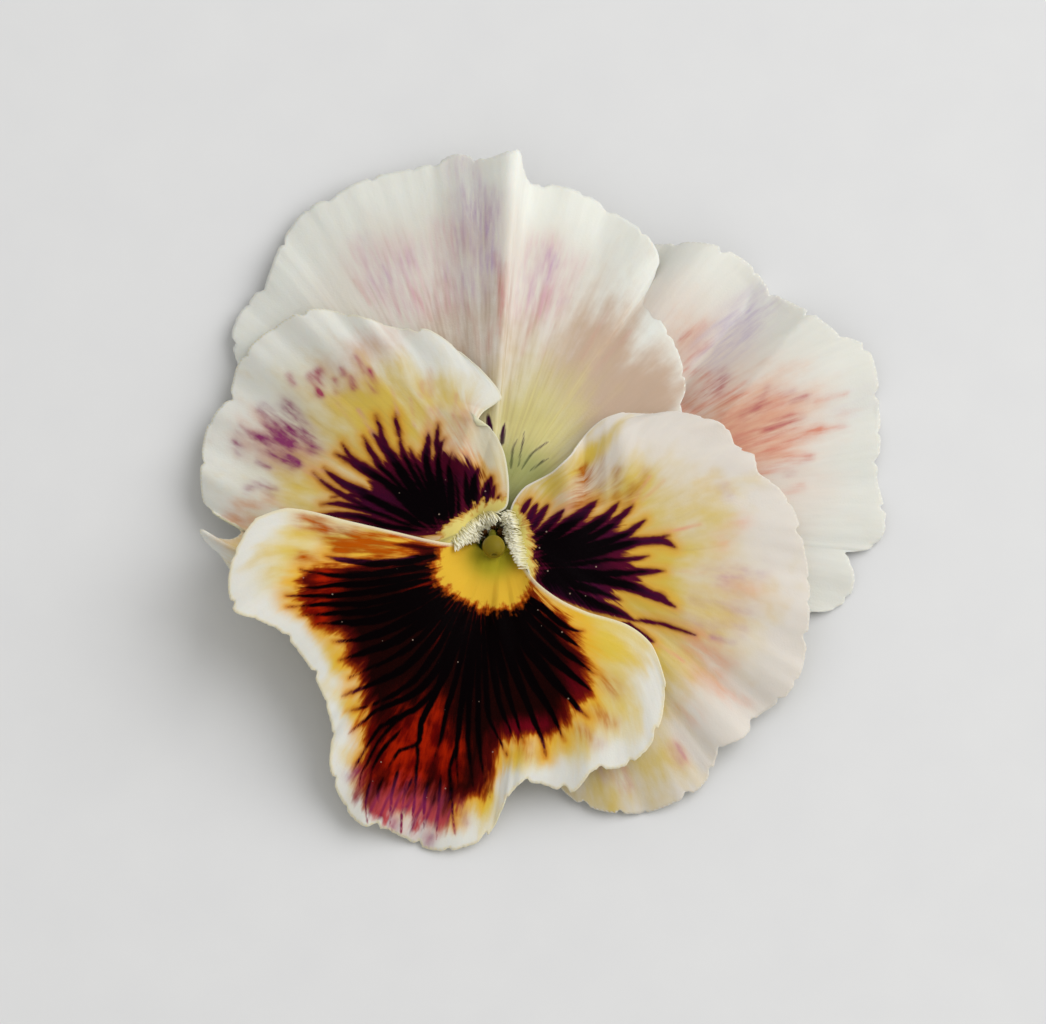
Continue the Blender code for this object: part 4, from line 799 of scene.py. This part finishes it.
lowerPetal = dict(
    node="petal_lower", slot="petal_lower", seed=27,
    rows=140, columns=345, claw=270, spread=84, lip=11.2, rise=0.9, nicks=30, nickDepth=0.45, ribs=20, rimWave=0.08,
    fineVeins=34, depth=1.5, rimWidth=3.2, haloWidth=2.5, haloNear=0.75, groundSoft=0.55, veinCore=(-0.08, 0.14),
    tipFade=0.8, auraStep=(0.4, 0.25), rimClear=0.9, litEdgeLine=0.45, yolkStreak=1.2, eyeFringe=0.8, eyeRagged=1.7,
    greenThroat=0.8, lineStrength=0.12,
    rim=[(-22.4, 2.8, 11.2), (-24, 0.4, 11), (-24.9, -3, 11.2), (-24.3, -6, 11.6), (-22.2, -6.9, 10.6),
        (-19.6, -8.3, 9.6), (-17.6, -10.8, 8.6), (-15.8, -14.4, 7.6), (-15.1, -17.6, 6), (-15.3, -20.8, 4.4),
        (-14.2, -24, 3), (-12.2, -26.6, 1.9), (-9.8, -26.9, 1.5), (-7.2, -28.2, 0.7), (-4.8, -29, 0.31),
        (-2.6, -28.7, 0.5), (-0.4, -27.6, 1.1), (0.7, -25.9, 2.2), (1.7, -23.9, 3.2), (3.2, -22.4, 4.2),
        (5.6, -22.7, 3.9), (8, -23.3, 3.8), (9.8, -21.3, 4.9), (12.4, -20.9, 5.1), (14.9, -19.3, 5.7),
        (16.4, -16, 7), (16.7, -12.8, 8.3)],
    firstSide=[(-1.9, 1.1, 9.5), (-3.1, 0.6, 9.7), (-4.6, 0.6, 10.8), (-8.8, 1.5, 11.4), (-14, 2.7, 11.5),
        (-19.4, 3.8, 11.4)],
    secondSide=[(2.1, 0.4, 9.4), (3.2, -1.6, 9.5), (4.3, -3.1, 10.5), (6.7, -4.9, 10.9), (9.6, -6.2, 10.5),
        (12.9, -7.2, 10.1), (15.4, -9.2, 9.4)],
    blotch=[(-4.9, 0.5), (-6.9, 0.7), (-8.7, 0.4), (-7.2, -0.3), (-8.5, -0.9), (-10.7, -1.1), (-13.8, -1.7),
        (-16.9, -2.1), (-18.0, -3.6), (-18.0, -5.4), (-16.8, -7.0), (-14.6, -7.9), (-13.5, -9.4), (-13.4, -10.8),
        (-12.4, -11.8), (-11.9, -13.2), (-11.9, -15.4), (-12.2, -17.6), (-11.9, -20.1), (-12.1, -22.6), (-12, -24.6),
        (-10.4, -26.4), (-8.1, -27.6), (-5.8, -27.6), (-4.2, -26.2), (-3.0, -24.2), (-1, -23.6), (-0.2, -21.7),
        (0.3, -19.2), (1.5, -18.1), (3.1, -17.7), (5, -17.7), (6.8, -17.4), (7.6, -15.4), (9.5, -14.2), (9.4, -12.4),
        (8.9, -10.4), (7.9, -8.4), (7.1, -6.8), (5.6, -6), (4.3, -4.2), (3.9, -2.9), (3.4, 0.2)],
    veins=[(0.31, -5.1, -0.7, -8.2, -1.3, -11.3, -1.5, -13.2, -1.3, -15.7, -0.8),
        (0.26, -5.2, -1.7, -8.2, -2.1, -12.3, -2.6, -15.4, -2.6, -18.0, -2.1),
        (0.28, -5.2, -2.4, -8.2, -2.9, -11.9, -3.4, -15.1, -3.5, -16.3, -3.7, -18.4, -3.7),
        (0.28, -5.2, -2.9, -8.8, -3.7, -12.6, -4.3, -15.7, -4.5, -18.5, -4.5, -19.4, -4.5),
        (0.28, -5.1, -3.4, -8.2, -4.5, -11.9, -5.3, -15.1, -5.3, -17.3, -5.4, -19.3, -5.6),
        (0.31, -4.9, -3.7, -8.2, -5.1, -11.6, -6, -14.8, -6.2, -18.2, -6.4),
        (0.34, -4.6, -4, -8.2, -5.9, -11.6, -7, -14.8, -7.1, -17, -7.3),
        (0.38, -4.1, -4.3, -6.9, -6.4, -10.1, -7.9, -12.6, -8.7, -14.9, -8.9),
        (0.38, -3.8, -4.5, -6.3, -7, -9.4, -9, -12.3, -10, -14.4, -10.7),
        (0.25, -3.3, -4.7, -5.7, -7.6, -8.5, -10, -11.6, -11.5, -13.4, -12.3),
        (0.34, -3, -4.9, -5.4, -8.5, -8.2, -11.4, -11.6, -13.1, -14.1, -14.1),
        (0.28, -2.7, -5, -5.1, -9.8, -7.6, -12.9, -11, -14.8, -13.7, -15.6),
        (0.31, -2.4, -5.2, -4.7, -11, -7.3, -13.9, -10.7, -15.4, -12.3, -16.7, -13.6, -17.7),
        (0.28, -2.1, -5.4, -4.4, -12.3, -7.3, -15.4, -10.4, -17, -11.9, -19.2, -13.2, -21.4),
        (0.16, -6.9, -15.1, -9.1, -16.7, -10.7, -18.6, -11.6, -20.4, -12.3, -21.7, -12.4, -23.7),
        (0.16, -8.2, -17, -10.4, -19.5, -11.2, -21.1, -11.6, -22.6),
        (0.28, -1.9, -5.4, -3.8, -10.4, -5.4, -14.2, -6.6, -16.7, -6.9, -18.6, -8.5, -19.2, -9.4, -20.4, -10.1, -21.7),
        (0.16, -6.9, -18.6, -6.9, -20.1, -7.3, -21.7),
        (0.25, -1.6, -5.6, -3.2, -12.3, -4.1, -15.4, -4.7, -18.2, -5.4, -20.4, -5.7, -21.7),
        (0.28, -1.3, -5.7, -2.4, -12.9, -3, -17.3, -3.2, -20.1, -2.9, -23.3),
        (0.16, -2.9, -17.9, -3.8, -21.1, -3.8, -23.6, -5.1, -26.7),
        (0.25, -1.1, -5.7, -1.8, -12.9, -2.1, -17.9, -1.8, -21.1, -1.5, -23.6),
        (0.25, -1, -5.8, -1.1, -12.9, -1.1, -17.3, -0.7, -21.1, 0, -23.8),
        (0.25, -0.7, -5.8, -0.4, -12.3, -0.1, -16.1, 0.9, -18.2, 1.6, -19.7),
        (0.28, -0.4, -5.8, 0.3, -11, 0.9, -14.8, 1.8, -17, 2.4, -18.4),
        (0.31, -0.2, -5.8, 0.9, -10.4, 1.8, -14.2, 2.6, -16.4, 3.2, -18.4),
        (0.34, 0.3, -5.8, 1.5, -9.2, 3.1, -13.6, 4.3, -16.7, 5.1, -18.6, 5.3, -19.9),
        (0.38, 0.7, -5.8, 2.4, -9.5, 4, -12.6, 5.9, -15.7, 7.1, -18.3),
        (0.41, 1.2, -5.7, 3.4, -9.2, 5.6, -12, 7.5, -14.2, 9.3, -16.1),
        (0.41, 1.8, -5.6, 4, -8.5, 6.2, -10.7, 8.1, -12.3, 9.7, -13.6),
        (0.34, 2.4, -5.4, 5, -7.9, 7.1, -9.8, 8.7, -11, 9.9, -12), (0.31, 2.9, -4.9, 5, -6.7, 6.8, -8.2, 8.7, -9.5),
        (0.28, 3.2, -4.5, 5, -5.7, 6.5, -7, 7.9, -7.8, 8.9, -7.9), (0.14, -5.7, -21.7, -6.2, -23.6, -6.3, -26.9),
        (0.12, -8.6, -20.5, -9.4, -23.6, -9.6, -26.5), (0.12, -6.9, -20, -7.2, -23.5, -7.5, -27.6),
        (0.12, -4.7, -21.5, -4.9, -24.5, -5.1, -27.8), (0.1, -8, -22, -8.4, -25, -8.5, -27.4),
        (0.1, -11.2, -21.5, -11.8, -24, -11.7, -26.2), (0.12, -3.6, -22, -3.6, -25, -3.3, -27.4),
        (0.13, -7.3, -21.7, -8.2, -23.6, -8.7, -25.1), (0.13, -10.1, -21.7, -10.7, -23.3, -10.5, -24.5)],
    eye=[(-4.4, 0.4), (-5, -1), (-5.1, -2.6), (-4.1, -3.8), (-2.6, -4.6), (-1, -5.4), (1.2, -5.7), (2.6, -5.4),
        (3.5, -4), (3.9, -2.6), (3.1, 0.2), (0.3, 2.7), (-2.6, 1.8)],
    green=[(0.35, -0.5, 2.6, 2.8, 1.0), (-1.3, 0.9, 1.4, 1.1, 0.7)],
    yolk=[(-1.0, -24, 2.6, 2.0, 0.9), (3, -19.8, 2, 2.4, 0.9), (7.5, -18.4, 2, 2.8, 0.8), (-17.5, -4.5, 2, 3, 0.9),
        (-14.8, -10, 1.6, 3, 0.8), (-13.4, -15, 1.4, 3, 0.8), (-13, -20, 1.2, 3, 0.6), (10.5, -8.5, 5.5, 4.5, 0.85),
        (-18, 0, 4, 4, 0.6), (-11.5, 0.2, 5, 1.6, 1.3), (10, -14, 5, 4, 0.75), (-15, -7, 3, 3, 0.6)],
    ember=[(-6.4, -16.5, 2.6, 1.6, 0.7), (-7.6, -19.5, 5.0, 3.4, 1.2), (-4.2, -20.5, 4, 1.8, 0.8),
        (-15.5, -3.4, 1.6, 2.4, 0.7), (-16.6, -5.8, 1.8, 2.2, 0.8), (-12.2, -17.2, 1.6, 3.2, 0.8),
        (-1.2, -7.4, 4, 0.8, 0.65), (-3.8, -6.6, 3, 1.2, 0.45), (-6.4, -3.4, 2.4, 2.2, 0.45),
        (3.6, -4.4, 1.0, 1.0, 0.35), (8.6, -14.8, 2.0, 3, 0.25)],
    plum=[(-12.4, -22, 2.5, 0.9, 0.6), (3.6, -16.8, 1.2, 3.6, 0.5), (8.2, -12.8, 3.4, 1.6, 0.36)],
    fade=[(-8.2, -29.2, 5.6, 5.4, 1.35)],
    # the blush here is a tan-grey painted shade, darkening the right side below the eye and faintly the left lobe
    blush=[(-21, -2, 3, 3, 0.3), (12.5, -11.5, 3.5, 4.5, 0.55)],
    flushOne=[(0.8, 1.05, -7.6, -0.6, -10.5, -0.3, -13.8, -0.1),
        (0.75, 1.2, -7.4, -0.3, -9.4, 0.4, -11.6, 0.2, -13.2, 0.5), (0.63, 1, -8.2, -0.6, -11, -0.3, -13.2, 0.1),
        (0.56, 0.9, -12.3, -0.3, -14.1, 0.7, -15.7, 1.8, -17.5, 2.7), (0.38, 0.9, -16.6, -1.3, -17.9, -0.9),
        (0.44, 0.7, 10, -15.4, 11.5, -16.7), (0.44, 0.7, 10, -12.3, 11.8, -13.6),
        (0.38, 0.6, 8.7, -17.3, 10.3, -18.6), (0.44, 0.8, 3.4, -18.6, 3.7, -19.5),
        (0.44, 0.6, -2.6, -21.7, -2.4, -23.6), (0.44, 0.5, -1, -21.7, -0.7, -22.9)],
    flushTwo=[(0.3, 0.5, -2.8, -23.4, -2.4, -26), (0.31, 0.6, -12.3, -21.7, -12.4, -23.9),
        (0.31, 0.6, -12.9, -21.1, -13.4, -21.7), (0.31, 0.5, -5.7, -27.6, -6, -28.6),
        (0.3, 0.5, -9.2, -26, -9.4, -26.8)],
    flushThree=[(0.2, 1.2, -8.4, 0.1, -11.6, 0.5, -14.2, 1.6), (0.2, 1.2, -9.4, -0.5, -12.4, -0.4, -14.6, -0.1),
        (0.28, 1, -11.9, -0.6, -13.5, 0.2, -14.8, 1), (0.25, 0.8, -9.4, 0.2, -11, 0.8),
        (0.28, 0.7, -15.4, 1.5, -16.6, 2.4), (0.22, 0.7, -8.2, -0.9, -10.1, -0.7)],
    colors=dict(rosy="#BA484E", veinTip="#7E2250", blush="#D8C6A6", emberPale="#AC2002", rim="#E6E4DC",
        body="#E6D8AA", yolk="#E2C450", halo="#E8B02E", haloNear="#B8480A", blotchDeep="#1A0302",
        blotchEdge="#560A08", blotchVein="#040001", ember="#660402", plum="#84061E", flushOne="#B85404",
        flushTwo="#9C4A74", flushThree="#7A2E06", vein="#C8994C", eye="#DDB238", eyeBorder="#AE4C0A",
        throat="#9C9A22", edge="#E8DCBC", back="#DAD4A6"),
)

for name, petal in (("upperRight", upperRight), ("upperLeft", upperLeft), ("lateralLeft", lateralLeft),
                    ("lateralRight", lateralRight), ("lowerPetal", lowerPetal)):
    petalPiece(name, petal)


# round and leafy small parts

def ringFaces(rings, sides):
    # the faces of a closed stack of rings, whose two end points come last
    faces, after = [], [(j + 1) % sides for j in range(sides)]
    for k in range(rings - 1):
        for j, n in enumerate(after):
            faces.append((k * sides + j, k * sides + n, (k + 1) * sides + n, (k + 1) * sides + j))
    last = (rings - 1) * sides
    for j, n in enumerate(after):
        faces += [(rings * sides, n, j), (rings * sides + 1, last + j, last + n)]
    return faces


def tubeShape(line, sides=18, steps=30):
    # a closed round body along a smooth line of (x, y, z, radius) in mm
    spots = smoothLine(line, np.linspace(0, 1, steps + 1))
    path, radius = spots[:, :3], np.maximum(spots[:, 3], 0.01)
    way = np.gradient(path, axis=0)
    way = way / np.linalg.norm(way, axis=1, keepdims=True)
    side = np.cross(way[0], (0.31, 0.52, 0.8))   # any direction that isn't along a tube
    rings = []
    turn = 2 * np.pi * np.arange(sides) / sides
    for k in range(steps + 1):
        side = side - way[k] * np.dot(side, way[k])
        side = side / np.linalg.norm(side)
        other = np.cross(way[k], side)
        rings.append(path[k] + radius[k] * (np.outer(np.cos(turn), side) + np.outer(np.sin(turn), other)))
    return np.vstack(rings + [path[:1], path[-1:]]), ringFaces(steps + 1, sides)


def tubeMarks(sides, steps):
    # 0 at the root of a tube to 1 at its tip
    return np.concatenate([np.repeat(np.linspace(0, 1, steps + 1), sides), [0, 1]])


def turnedShape(profile, center, toward, sides=40):
    # a round body from (radius, height) points, its own axis pointing toward a direction
    profile = smoothLine([(0, profile[0][1])] + profile + [(0, profile[-1][1])], np.linspace(0, 1, 40))[1:-1]
    turn = 2 * np.pi * np.arange(sides) / sides
    upright = np.stack([np.outer(profile[:, 0], np.cos(turn)), np.outer(profile[:, 0], np.sin(turn)),
                        np.repeat(profile[:, 1:], sides, axis=1)], axis=2).reshape(-1, 3)
    ends = np.array([(0, 0, profile[0, 1]), (0, 0, profile[-1, 1])])
    lean = np.array(Vector((0, 0, 1)).rotation_difference(Vector(toward).normalized()).to_matrix())
    return np.vstack([upright, ends]) @ lean.T + np.array(center), ringFaces(len(profile), sides)


def joinShapes(name, shapes, tips):
    # one mesh from several closed shapes; tips says how far towards its tip each shape is, as one number or many
    places, faces, start = [], [], 0
    for spots, loops in shapes:
        places.append(spots)
        faces += [tuple(index + start for index in loop) for loop in loops]
        start += len(spots)
    values = [np.broadcast_to(tip, len(spots)) for tip, (spots, _) in zip(tips, shapes)]
    places = (np.vstack(places) - np.array([*bloom["axis"], 0])) * mm
    places[:, 2] = np.maximum(places[:, 2], sheetForm["boxGap"] * mm)
    mesh = bpy.data.meshes.new(name)
    mesh.from_pydata(places, [], faces)
    setValues(mesh, {"tip": np.concatenate(values)})
    return mesh


def softTissue(name, colors, scale, rough, shine=0.3, soft=0.3, bumpMm=0.06):
    # living tissue with a mottle of scale mm: two mottled colours near the root and one at the tip
    made, tree, shader = newMaterial(name)
    add = partial(addNode, tree)
    root, mottled, tip = (hexColor(color) for color in colors)
    space = add(kind="NewGeometry")
    mottle = add({"Vector": space, "Scale": 1000.0 / scale, "Detail": 3.0}, kind="TexNoise")
    color = add((mottle, root, mottled), **tint)
    uneven = add((mottle, 0.3, add(attribute_name="tip", **mark)), **timesPlus)
    fillInputs(tree, shader, {
        "Base Color": add((add((uneven, 0.45, 1.0), **ease), color, tip), **tint),
        "Normal": add({"Strength": 0.6, "Distance": bumpMm * mm, "Height": mottle}, kind="Bump"),
        "Roughness": rough,
        "IOR": 1.4,
        "Specular IOR Level": shine,
        "Subsurface Weight": soft,
        "Subsurface Radius": (1.0, 0.9, 0.6),
        "Subsurface Scale": 0.4 * mm,
    })
    return made


# the beards: white club hairs in a thick fringe over the throat, rooted on the side petals

beards = dict(
    left=dict(petal="lateralLeft", node="petal_lateral_left", seed=31, count=860,
              roots=[(-3.5, 0.6), (-3.0, 1.5), (-2.2, 2.3), (-1.4, 2.9), (-0.5, 3.35), (0.3, 3.6)],
              aim=(0.5, -0.86), rows=1.2, length=(0.8, 1.3)),
    right=dict(petal="lateralRight", node="petal_lateral_right", seed=37, count=800,
               roots=[(2.3, 3.3), (2.7, 2.3), (3.0, 1.1), (3.25, 0.0), (3.45, -1.2), (3.5, -2.1)],
               aim=(-1.0, -0.12), rows=0.75, length=(0.7, 1.1)),
    hairRadius=0.064,
    sides=5, steps=6,
    lowestRoot=6.5,       # mm, a hair that would root lower down is left out
    # along a hair: share of its length, share of its bend, share of its radius; the club is near the tip
    form=[(0.35, 0, 0.85), (0.75, 0.4, 1.15), (0.94, 0.8, 0.95), (1, 1, 0.3)],
)


def beardPiece(side):
    beard = beards[side]
    chance = np.random.default_rng(beard["seed"])
    ground = BVHTree.FromObject(bpy.data.objects[beard["petal"]], bpy.context.evaluated_depsgraph_get())
    axis = np.array([*bloom["axis"], 0])
    inward = np.array([0, math.sin(bloom["lean"]), -math.cos(bloom["lean"])])   # square to the face
    shapes = []
    for x, y in smoothLine(beard["roots"], np.sort(chance.random(beard["count"]))):
        spot = np.array([x, y]) + np.array(beard["aim"]) * beard["rows"] * chance.random() + chance.normal(0, 0.1, 2)
        start = np.array([spot[0], planY(spot[1], bloom["throatHeight"]), bloom["throatHeight"]]) - 20 * inward
        hit = ground.ray_cast(Vector(start - axis) * mm, Vector(inward))[0]
        if hit is None or hit.z < beards["lowestRoot"] * mm:
            continue
        root = np.array(hit) / mm + axis
        toward = np.array(beard["aim"]) + chance.normal(0, 0.2, 2)
        way = np.array([*(toward / np.linalg.norm(toward)), 0.35 + 0.35 * chance.random()])
        way = way / np.linalg.norm(way)
        length = chance.uniform(*beard["length"])
        thick = beards["hairRadius"] * chance.uniform(0.8, 1.3)
        bend = np.array([0, 0, -0.22 * length])
        line = [(*(root - 0.12 * way), thick * 0.8)]   # starts inside the petal
        line += [(*(root + out * length * way + sag * bend), thick * wide) for out, sag, wide in beards["form"]]
        shapes.append(tubeShape(line, beards["sides"], beards["steps"]))
    mesh = joinShapes("beard" + side.title(), shapes, [tubeMarks(beards["sides"], beards["steps"])] * len(shapes))
    skin = softTissue("clubHair" + side.title(), ("#E4DA9C", "#EAE2B2", "#F8F3D8"), 0.5, 0.7, shine=0.1, soft=0.2)
    newPiece("beard" + side.title(), mesh, skin, beard["node"])
    print("beard", side, "made:", len(shapes), "hairs")


for side in ("left", "right"):
    beardPiece(side)


# pistil: ovary, bent style and a round moist stigma with its opening towards the lower petal

pistil = dict(
    stigma=(0.35, 0.0, 10.5), radius=1.08, opening=(0.05, -1, 0.3),
    ball=[(0.45, -0.92), (0.86, -0.5), (1, 0), (0.88, 0.5), (0.6, 0.82), (0.36, 0.9), (0.24, 0.84), (0.16, 0.66)],
    style=[(0.2, 2.0, 4.6, 0.35), (0.2, 2.0, 5.1, 0.72), (0.2, 2.0, 5.9, 0.78), (0.2, 2.0, 6.7, 0.6),
           (0.2, 2.0, 7.5, 0.34), (0.2, 1.95, 8.4, 0.3), (0.22, 1.6, 9.1, 0.34), (0.28, 0.9, 9.7, 0.42),
           (0.33, 0.35, 10.2, 0.55)],
)


def pistilPiece():
    ball = [(wide * pistil["radius"], high * pistil["radius"]) for wide, high in pistil["ball"]]
    shapes = [tubeShape(pistil["style"]), turnedShape(ball, pistil["stigma"], pistil["opening"])]
    # the style's darker olive, beside the paler stigma, is painted shade of the recess in the throat
    skin = softTissue("moistStigmaTissue", ("#5E5C18", "#6A6618", "#80701A"), 0.35, 0.4, shine=0.12, soft=0.4)
    newPiece("pistilBody", joinShapes("pistilBody", shapes, [0.0, 1.0]), skin, "pistil")


pistilPiece()


# stamens: five anthers that stand close round the ovary, each with a dry orange-brown tip

stamens = dict(
    count=5, ring=0.98, sides=14, steps=26,
    # up an anther: distance from the axis in rings, height, radius
    form=[(1, 4.6, 0.2), (1.06, 5.4, 0.36), (1.04, 5.8, 0.42), (1, 7.0, 0.4), (0.8, 7.55, 0.34), (0.56, 8.1, 0.06)],
)


def stamensPiece():
    x, y = bloom["axis"]
    shapes = []
    for k in range(stamens["count"]):
        turn = math.radians(90 + 360 / stamens["count"] * k)
        c, s = math.cos(turn) * stamens["ring"], math.sin(turn) * stamens["ring"]
        line = [(x + c * out, y + s * out, height, wide) for out, height, wide in stamens["form"]]
        shapes.append(tubeShape(line, stamens["sides"], stamens["steps"]))
    tips = [tubeMarks(stamens["sides"], stamens["steps"])] * len(shapes)
    skin = softTissue("dryAntherTissue", ("#CFC08A", "#B8A468", "#5E3A16"), 0.4, 0.6, soft=0.2)
    newPiece("stamenRing", joinShapes("stamenRing", shapes, tips), skin, "stamens")


stamensPiece()


# calyx: five pointed sepals with backward ears, the receptacle and the cut stalk

calyx = dict(
    sepalAngles=(92, 20, 163, 306, 232), sepalLength=13.5, sepalWidth=4.6, earLength=3.4, thickness=0.42,
    hinge=1.6,              # mm from the axis to where a sepal's own length starts
    earEnd=2.6,             # mm along a sepal to where its ear has widened into the blade
    height=3.55,
    receptacle=[(1.68, 0.0), (1.75, 0.02), (2.2, 0.7), (2.45, 2.0), (2.45, 3.3), (2.1, 4.2), (1.2, 4.4)],
    stalk=[(0.3, 2.4, 2.1, 0.85), (0.6, 3.6, 1.9, 0.93), (1.2, 5.2, 1.45, 0.88), (2.2, 7.2, 1.15, 0.86),
           (3.4, 8.9, 1.15, 0.88), (3.6, 9.15, 1.15, 0.8), (3.62, 9.18, 1.15, 0.1)],
)


def sepalShape(angle, rows=56, columns=17):
    share, side = np.meshgrid(np.linspace(0, 1, rows), np.linspace(-1, 1, columns), indexing="ij")
    reach = -calyx["earLength"] + (calyx["sepalLength"] + calyx["earLength"]) * share
    width, earEnd = 0.5 * calyx["sepalWidth"], calyx["earEnd"]
    half = width * np.maximum(0.06, np.sin(np.pi * (0.1 + 0.9 * share) ** 0.8)) ** 0.75
    ear = width * 0.62 * np.clip(0.35 + 2.2 * share, 0.35, 1)
    half = np.where(reach < earEnd, np.minimum(half, ear + 0.4 * np.clip(reach, 0, earEnd)), half)
    height = calyx["height"] - 0.32 * np.maximum(0, earEnd - reach) - 0.1 * half * side ** 2
    height = height + 0.03 * np.maximum(0, reach - 3)
    height = height - 0.1 * np.exp(-(side / 0.12) ** 2)                     # groove over the middle vein
    height = height + 0.03 * np.cos(side * 14) * np.clip(reach / 4, 0, 1)   # fine parallel veins
    c, s = math.cos(angle), math.sin(angle)
    x = bloom["axis"][0] + c * (reach + calyx["hinge"]) - s * half * side
    y = bloom["axis"][1] + s * (reach + calyx["hinge"]) + c * half * side
    thick = 0.5 * calyx["thickness"] * (0.25 + 0.75 * (1 - side ** 4)) * np.clip((1 - share) * 12, 0.25, 1)
    top, low = (np.stack([x, y, height + shift], axis=2).reshape(-1, 3) for shift in (thick, -thick))
    return (np.vstack([top, low]), sheetFaces(rows, columns)), np.tile(share.ravel(), 2)


def calyxPiece():
    shapes, tips = zip(*(sepalShape(math.radians(angle)) for angle in calyx["sepalAngles"]))
    receptacle = turnedShape(calyx["receptacle"], (*bloom["axis"], 0), (0, 0, 1), sides=56)
    shapes = [*shapes, receptacle, tubeShape(calyx["stalk"], sides=26, steps=60)]
    skin = softTissue("fleshyGreenSepal", ("#5E7A34", "#76913F", "#9DAE62"), 1.1, 0.45, soft=0.25, bumpMm=0.08)
    newPiece("calyxBody", joinShapes("calyxBody", shapes, [*tips, 0.0, 0.2]), skin, "calyx")


calyxPiece()


# the nectar spur, a blunt sac behind the lower petal

spur = dict(
    sides=30, steps=50,
    line=[(0.2, -0.9, 8.6, 0.5), (0.2, -1.9, 6.6, 1.0), (0.2, -2.9, 4.8, 1.12), (0.3, -3.9, 3.2, 1.1),
          (0.4, -4.45, 2.2, 0.95), (0.4, -4.7, 1.7, 0.6), (0.4, -4.75, 1.55, 0.05)],
)


def spurPiece():
    shape = tubeShape(spur["line"], spur["sides"], spur["steps"])
    mesh = joinShapes("nectarSpur", [shape], [tubeMarks(spur["sides"], spur["steps"])])
    skin = softTissue("thinSpurTissue", ("#C9C79A", "#D8D3B0", "#A78CA0"), 1.2, 0.5, soft=0.4)
    newPiece("nectarSpur", mesh, skin, "petal_lower")


spurPiece()
print("small parts made")


# the studio: a sheet of pale card, one big soft light from the upper right and even light all round

studio = dict(
    card=("#DFDFE0", "#E4E4E4"), cardReach=3, sky="#F5F5F3", skyStrength=0.62,
    keyPower=4.6, keySize=0.9, keyFrom=(0.53, 0.19, 0.57),
)


def cardMaterial():
    # matt coated card: even and pale, with a barely visible mottle from its making
    made, tree, shader = newMaterial("mattCoatedCard")
    add = partial(addNode, tree)
    space = add(kind="NewGeometry")
    mottle = add({"Vector": space, "Scale": 160.0, "Detail": 4.0}, kind="TexNoise")
    color = add((mottle, *(hexColor(shade) for shade in studio["card"])), **tint)
    fillInputs(tree, shader, {"Base Color": color, "Roughness": 0.85, "Specular IOR Level": 0.2})
    return made


def setStudio():
    mesh = bpy.data.meshes.new("card")
    far = studio["cardReach"]
    mesh.from_pydata([(-far, -far, 0), (far, -far, 0), (far, far, 0), (-far, far, 0)], [], [(0, 1, 2, 3)])
    mesh.materials.append(cardMaterial())
    card = bpy.data.objects.new("card", mesh)
    bpy.context.scene.collection.objects.link(card)

    world = bpy.data.worlds.new("studioAir")
    world.use_nodes = True
    air = {"Color": hexColor(studio["sky"]), "Strength": studio["skyStrength"]}
    fillInputs(world.node_tree, world.node_tree.nodes["Background"], air)
    bpy.context.scene.world = world

    lamp = bpy.data.lights.new("softKey", "AREA")
    lamp.shape = "DISK"
    lamp.size = studio["keySize"]
    lamp.energy = studio["keyPower"]
    key = bpy.data.objects.new("softKey", lamp)
    key.location = studio["keyFrom"]
    key.rotation_mode = "QUATERNION"
    key.rotation_quaternion = (-Vector(studio["keyFrom"])).to_track_quat("-Z", "Y")
    bpy.context.scene.collection.objects.link(key)
    bpy.context.scene.view_settings.view_transform = "Standard"


def setCamera():
    # looks down at 75 degrees from a metre away; the throat falls left of and below the middle of the frame
    shot = dict(elevation=75, distance=1.0, sensor=36, pixelsPerMm=10.5, throatPixel=(490, 548), frame=(1046, 1024))
    pixel = mm / shot["pixelsPerMm"]
    lens = bpy.data.cameras.new("camera")
    lens.sensor_width = shot["sensor"]
    lens.lens = shot["sensor"] * shot["distance"] / (shot["frame"][0] * pixel)
    lens.clip_start, lens.clip_end = 0.01, 20
    camera = bpy.data.objects.new("camera", lens)
    tilt = math.radians(90 - shot["elevation"])
    camera.rotation_euler = (tilt, 0, 0)
    right, up = Vector((1, 0, 0)), Vector((0, math.cos(tilt), math.sin(tilt)))
    forward = Vector((0, math.sin(tilt), -math.cos(tilt)))
    throat = Vector((-bloom["axis"][0], -bloom["axis"][1], bloom["throatHeight"])) * mm
    across = (shot["frame"][0] / 2 - shot["throatPixel"][0]) * pixel
    above = (shot["throatPixel"][1] - shot["frame"][1] / 2) * pixel
    camera.location = throat + right * across + up * above - forward * shot["distance"]
    bpy.context.scene.collection.objects.link(camera)
    bpy.context.scene.camera = camera


setStudio()
setCamera()
print("studio and camera set")
